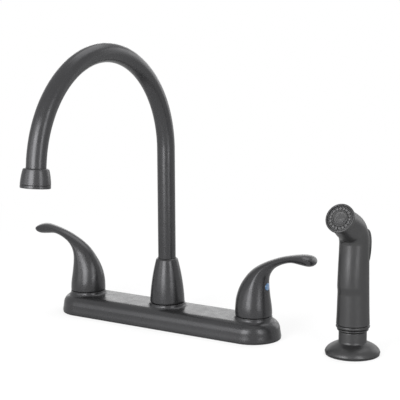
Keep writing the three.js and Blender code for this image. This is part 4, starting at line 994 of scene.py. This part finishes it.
def sprayer_table(sides=96):
    """Circles across the path: upright grip, elbow about a centre in front, nose. The
    foot has a chamfer, and the nose stops a hair short of its ring."""
    chamfer_height, chamfer_foot, nose_gap = 0.6, 0.965, 0.2
    a = angles(sides)
    front = -np.sin(a)
    z_up = np.linspace(body_foot + chamfer_height, elbow_start, 84)
    tilt = np.linspace(0, elbow_bend, 26)[1:]
    along_nose = np.linspace(0, nose_length - rim_height - nose_gap, 14)[1:]
    centre_y = np.concatenate([
        0 * z_up, -elbow_radius * (1 - np.cos(tilt)),
        -elbow_radius * (1 - np.cos(elbow_bend)) - along_nose * np.sin(elbow_bend)])
    centre_z = np.concatenate([
        z_up, elbow_start + elbow_radius * np.sin(tilt),
        elbow_start + elbow_radius * np.sin(elbow_bend) + along_nose * np.cos(elbow_bend)])
    lean = np.concatenate([0 * z_up, tilt, 0 * along_nose + elbow_bend])[:, None]
    share = np.concatenate([0 * z_up, 0 * tilt, along_nose / along_nose[-1]])[:, None]
    radius = grip_radius(centre_z[:, None] * (lean == 0) + elbow_start * (lean > 0), front)
    radius = radius + (nose_radius - top_radius) * smoothstep(share, 0, 1)
    across = radius * np.sin(a)
    table = np.stack([
        radius * np.cos(a), centre_y[:, None] + across * np.cos(lean),
        centre_z[:, None] + across * np.sin(lean)], axis=-1)
    foot = (table[0] - table[0].mean(axis=0)) * chamfer_foot + [0, 0, body_foot]
    table = np.concatenate([pole(foot.mean(axis=0), sides), foot[None], table,
                            pole(table[-1].mean(axis=0), sides)])
    return table + np.array([spray_x, spray_y, 0])


# %% Skin of the sprayer, with its waterway and pockets
pin_place = (spray_x, spray_y + 8.6, 112)  # the cross pin of the thumb lever
nose_way = np.array([0, -math.sin(elbow_bend), math.cos(elbow_bend)])
face_centre = np.array([
    spray_x,
    spray_y - elbow_radius * (1 - math.cos(elbow_bend)),
    elbow_start + elbow_radius * math.sin(elbow_bend)]) + nose_way * nose_length
# radius, from, to: inlet, the valve's room, its seat, the stem's guide, room for the head
waterway = ((10.2, 25, 58), (7.4, 57, 78), (4.6, 77, 82), (2.9, 81, 93), (5.8, 92, 103.5))
pocket_width, pocket_top, past_back = (-9.3, 9.3), 119.6, 30

shell = piece("sprayer_shell", [patch(sprayer_table())], sprayer_coat)
carve(shell, [
    *[rod(*bore, spray_axis) for bore in waterway],
    block(pocket_width, (4.9, past_back), (85.4, pocket_top), spray_axis),
    block(pocket_width, (1.9, past_back), (92, pocket_top), spray_axis),
    laid(rod(1.4, -20, 20, sides=32), (1, 0, 0), pin_place),
    laid(rod(2.6, -5.5, 30, sides=32), (0, 0, 1), (spray_x, spray_y - 9.7, 82)),
    laid(rod(10.8, -8, 2), nose_way, face_centre - nose_way * 3.6),
], crisp=40, at_once=True)
dress(shell, "sprayer", "spray_body")

# %% [markdown]
# A separate collar closes the body at its foot and sits on the holder's neck. Its bead
# is what gives the thin double line there.

# %% Collar under the body
collar_outline = np.concatenate([
    [(9.1, 23.2), (13.6, 23.2)], curve([(13.6, 23.2), (14.7, 23.2), (14.8, 24.0)], 5),
    curve([(14.8, 24.2), (14.8, 24.9), (14.1, 25.0)], 5), [(13.7, 25.2), (13.7, 25.4)],
    curve([(13.9, 25.5), (15.93, 25.5), (15.93, 27.4)], 9),
    curve([(15.85, 26.5), (15.9, 28.0), (14.9, 28.6)], 8), [(9.1, 28.6)],
])
piece("sprayer_collar", [lathe(collar_outline, spray_axis)], sprayer_coat, "sprayer",
      "spray_collar")


# %% [markdown]
# The thumb lever on the back is a crowned plate on a cross pin. Its side view is one
# closed outline with the plate, the boss round the pin and the nose that pushes the
# valve down. Across its width the outline is drawn in towards both ends, which rounds
# the edges over.

# %% Thumb lever
def slab(outline, half, soft, rows=7):
    """An outline in the y-z plane carried across x, drawn in along its own normals by
    soft (1 - cos) while the last soft millimetres are reached by sin."""
    outline = np.asarray(outline, float)
    after = np.roll(outline, -1, axis=0)
    ahead, behind = after - outline, outline - np.roll(outline, 1, axis=0)
    way = ahead / np.linalg.norm(ahead, axis=1, keepdims=True)
    way = way + behind / np.linalg.norm(behind, axis=1, keepdims=True)
    way /= np.linalg.norm(way, axis=1, keepdims=True)
    area = np.sum(outline[:, 0] * after[:, 1] - outline[:, 1] * after[:, 0])
    inward = np.stack([-way[:, 1], way[:, 0]], axis=1) * np.sign(area)
    t = np.linspace(0, np.pi / 2, rows)
    plain = half - soft
    x = np.sort(np.concatenate([-plain - soft * np.sin(t), plain + soft * np.sin(t)]))
    near = np.clip((np.abs(x) - plain) / soft, 0, 1)
    draw = soft * (1 - np.sqrt(1 - near**2))
    shape = outline[None] + inward[None] * draw[:, None, None]
    across = np.broadcast_to(x[:, None, None], (*shape.shape[:2], 1))
    table = np.concatenate([across, shape], axis=-1)
    first, last = (pole(table[k].mean(axis=0), len(outline)) for k in (0, -1))
    return patch(np.concatenate([first, table, last]))


trigger_side = np.concatenate([
    curve([(6.2, 115.2), (8.0, 118.0), (12.2, 118.0)], 8),
    curve([(12.2, 118.0), (22.0, 114.4), (22.0, 99.3), (16.8, 87.7)], 30)[1:],
    curve([(16.8, 87.7), (16.5, 87.0), (15.8, 87.0)], 4)[1:],
    curve([(14.2, 87.0), (13.7, 87.0), (13.9, 87.5)], 4),
    [(16.6, 93.3), (8.22, 93.3), (4.2, 97.32), (4.2, 100.32), (5.6, 108.4)],
])
lever_spots, lever_faces = slab(trigger_side, half=9.0, soft=1.2)
thumb = piece("thumb_lever", [(lever_spots + [spray_x, spray_y, 0], lever_faces)],
              sprayer_coat)
carve(thumb, [laid(rod(1.6, -20, 20, sides=32), (1, 0, 0), pin_place)], crisp=40)
dress(thumb, "trigger", "spray_trigger")

# %% [markdown]
# Behind the lever, inside the grip, a steel spring keeps the valve shut. It is a wire
# swept along a helix, with its turns close at both ends and apart between them. When
# the lever is squeezed the plunger comes down on it; the length of that slide is read
# from the joints and printed beside the spring's height.

# %% Valve spring
coil_foot, coil_top = (np.array(corner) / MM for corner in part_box("valve_spring"))
slide = next(joint for joint in frame["joints"] if joint["name"] == "plunger_slide")
coil_height, stroke = coil_top[2] - coil_foot[2], max(slide["range_m"]) / MM


def coil(radius, wire, turns, height, closed, steps=36, sides=12):
    """A ring of radius wire carried along the helix angle = 2 pi turns t, whose height
    is wire + (height - 2 wire) (t - closed sin(2 pi t) / 2 pi), with its ends capped."""
    t = np.linspace(0, 1, turns * steps + 1)
    angle = 2 * np.pi * turns * t
    climb = (height - 2 * wire) * (1 - closed * np.cos(2 * np.pi * t))
    z = wire + (height - 2 * wire) * (t - closed * np.sin(2 * np.pi * t) / (2 * np.pi))
    out = np.stack([np.cos(angle), np.sin(angle), 0 * t], axis=1)
    slope = climb / (2 * np.pi * turns * radius)
    way = np.stack([-np.sin(angle), np.cos(angle), slope], axis=1)
    way /= np.linalg.norm(way, axis=1, keepdims=True)
    across = np.cross(way, out)
    middle_line = radius * out + np.stack([0 * t, 0 * t, z], axis=1)
    a = angles(sides)[None, :, None]
    circle = np.cos(a) * out[:, None] + np.sin(a) * across[:, None]
    rings = middle_line[:, None] + wire * circle
    return np.concatenate([pole(middle_line[0], sides), rings, pole(middle_line[-1], sides)])


spring_table = coil(radius=4.6, wire=0.45, turns=5, height=coil_height, closed=0.35)
spring_table = spring_table + [spray_x, spray_y, coil_foot[2]]
spring = piece("coil_spring", [patch(spring_table)], steel, "sprayer", "valve_spring")
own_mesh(spring)
print("spring:", round(coil_height, 2), "mm high,", round(stroke, 2), "mm shorter when pressed")

# %% [markdown]
# ## The spray face
# The nozzle looks forwards and a little up. A ring with a rounded lip holds a dark
# plate with a dished middle, a ring of soft nubs, each with a tiny hole at its top, and
# a smaller ring of them in the dish. The nubs are one small lathe table, set round both
# circles by one formula.

# %% Nozzle ring and spray face
def at_nose(patched):
    """Lays a patch, made upright about the origin, on the axis of the nose."""
    return laid(patched, nose_way, face_centre)


rim_outline = np.concatenate([
    [(12.0, -3.4), (13.3, -3.4)], curve([(13.3, -3.4), (13.9, -3.4), (13.9, -2.8)], 4),
    curve([(13.9, -1.2), (13.9, 0), (13.0, 0)], 8),
    curve([(12.6, 0), (12.05, -0.1), (12.0, -0.8)], 6),
])
piece("nozzle_ring", [at_nose(lathe(rim_outline))], sprayer_coat, "sprayer", "nozzle_rim")

front = -1.1  # the plate's front lies this far inside the ring
face_outline = np.concatenate([
    [(0, front - 2.4), (11.6, front - 2.4), (11.7, front - 2.2), (11.7, front + 0.1),
     (11.3, front + 0.2)],
    curve([(10.9, front + 0.2), (10.7, front - 0.9), (9.4, front - 0.9),
           (8.1, front - 0.9)], 8),
    curve([(7.7, front - 0.6), (7.6, front + 0.7), (7.1, front + 0.7),
           (6.6, front + 0.1)], 9),
    curve([(6.5, front - 0.5), (4.5, front - 1.15), (2.2, front - 0.9),
           (0, front - 0.6)], 14),
])
piece("spray_plate", [at_nose(patch(turn(face_outline)))], face_plastic, "sprayer",
      "spray_face")

nub = np.concatenate([
    [(0, front - 1.1), (1.15, front - 1.1)],
    curve([(1.15, front - 0.4), (1.15, front + 0.5), (0.85, front + 0.8),
           (0.45, front + 0.75)], 7),
    [(0.4, front + 0.1), (0, front + 0.1)],
])
nubs = []
for circle, count, size, sink in ((9.4, 18, 1.0, 0.0), (4.2, 10, 0.5, 0.9)):
    spots, faces = patch(turn(nub * [size, 1], sides=16))
    for k in range(count):
        angle = 2 * math.pi * k / count
        place = [circle * math.cos(angle), circle * math.sin(angle), -sink]
        nubs.append((spots + place, faces))
piece("spray_nubs", [at_nose(part) for part in nubs], nub_rubber, "sprayer")
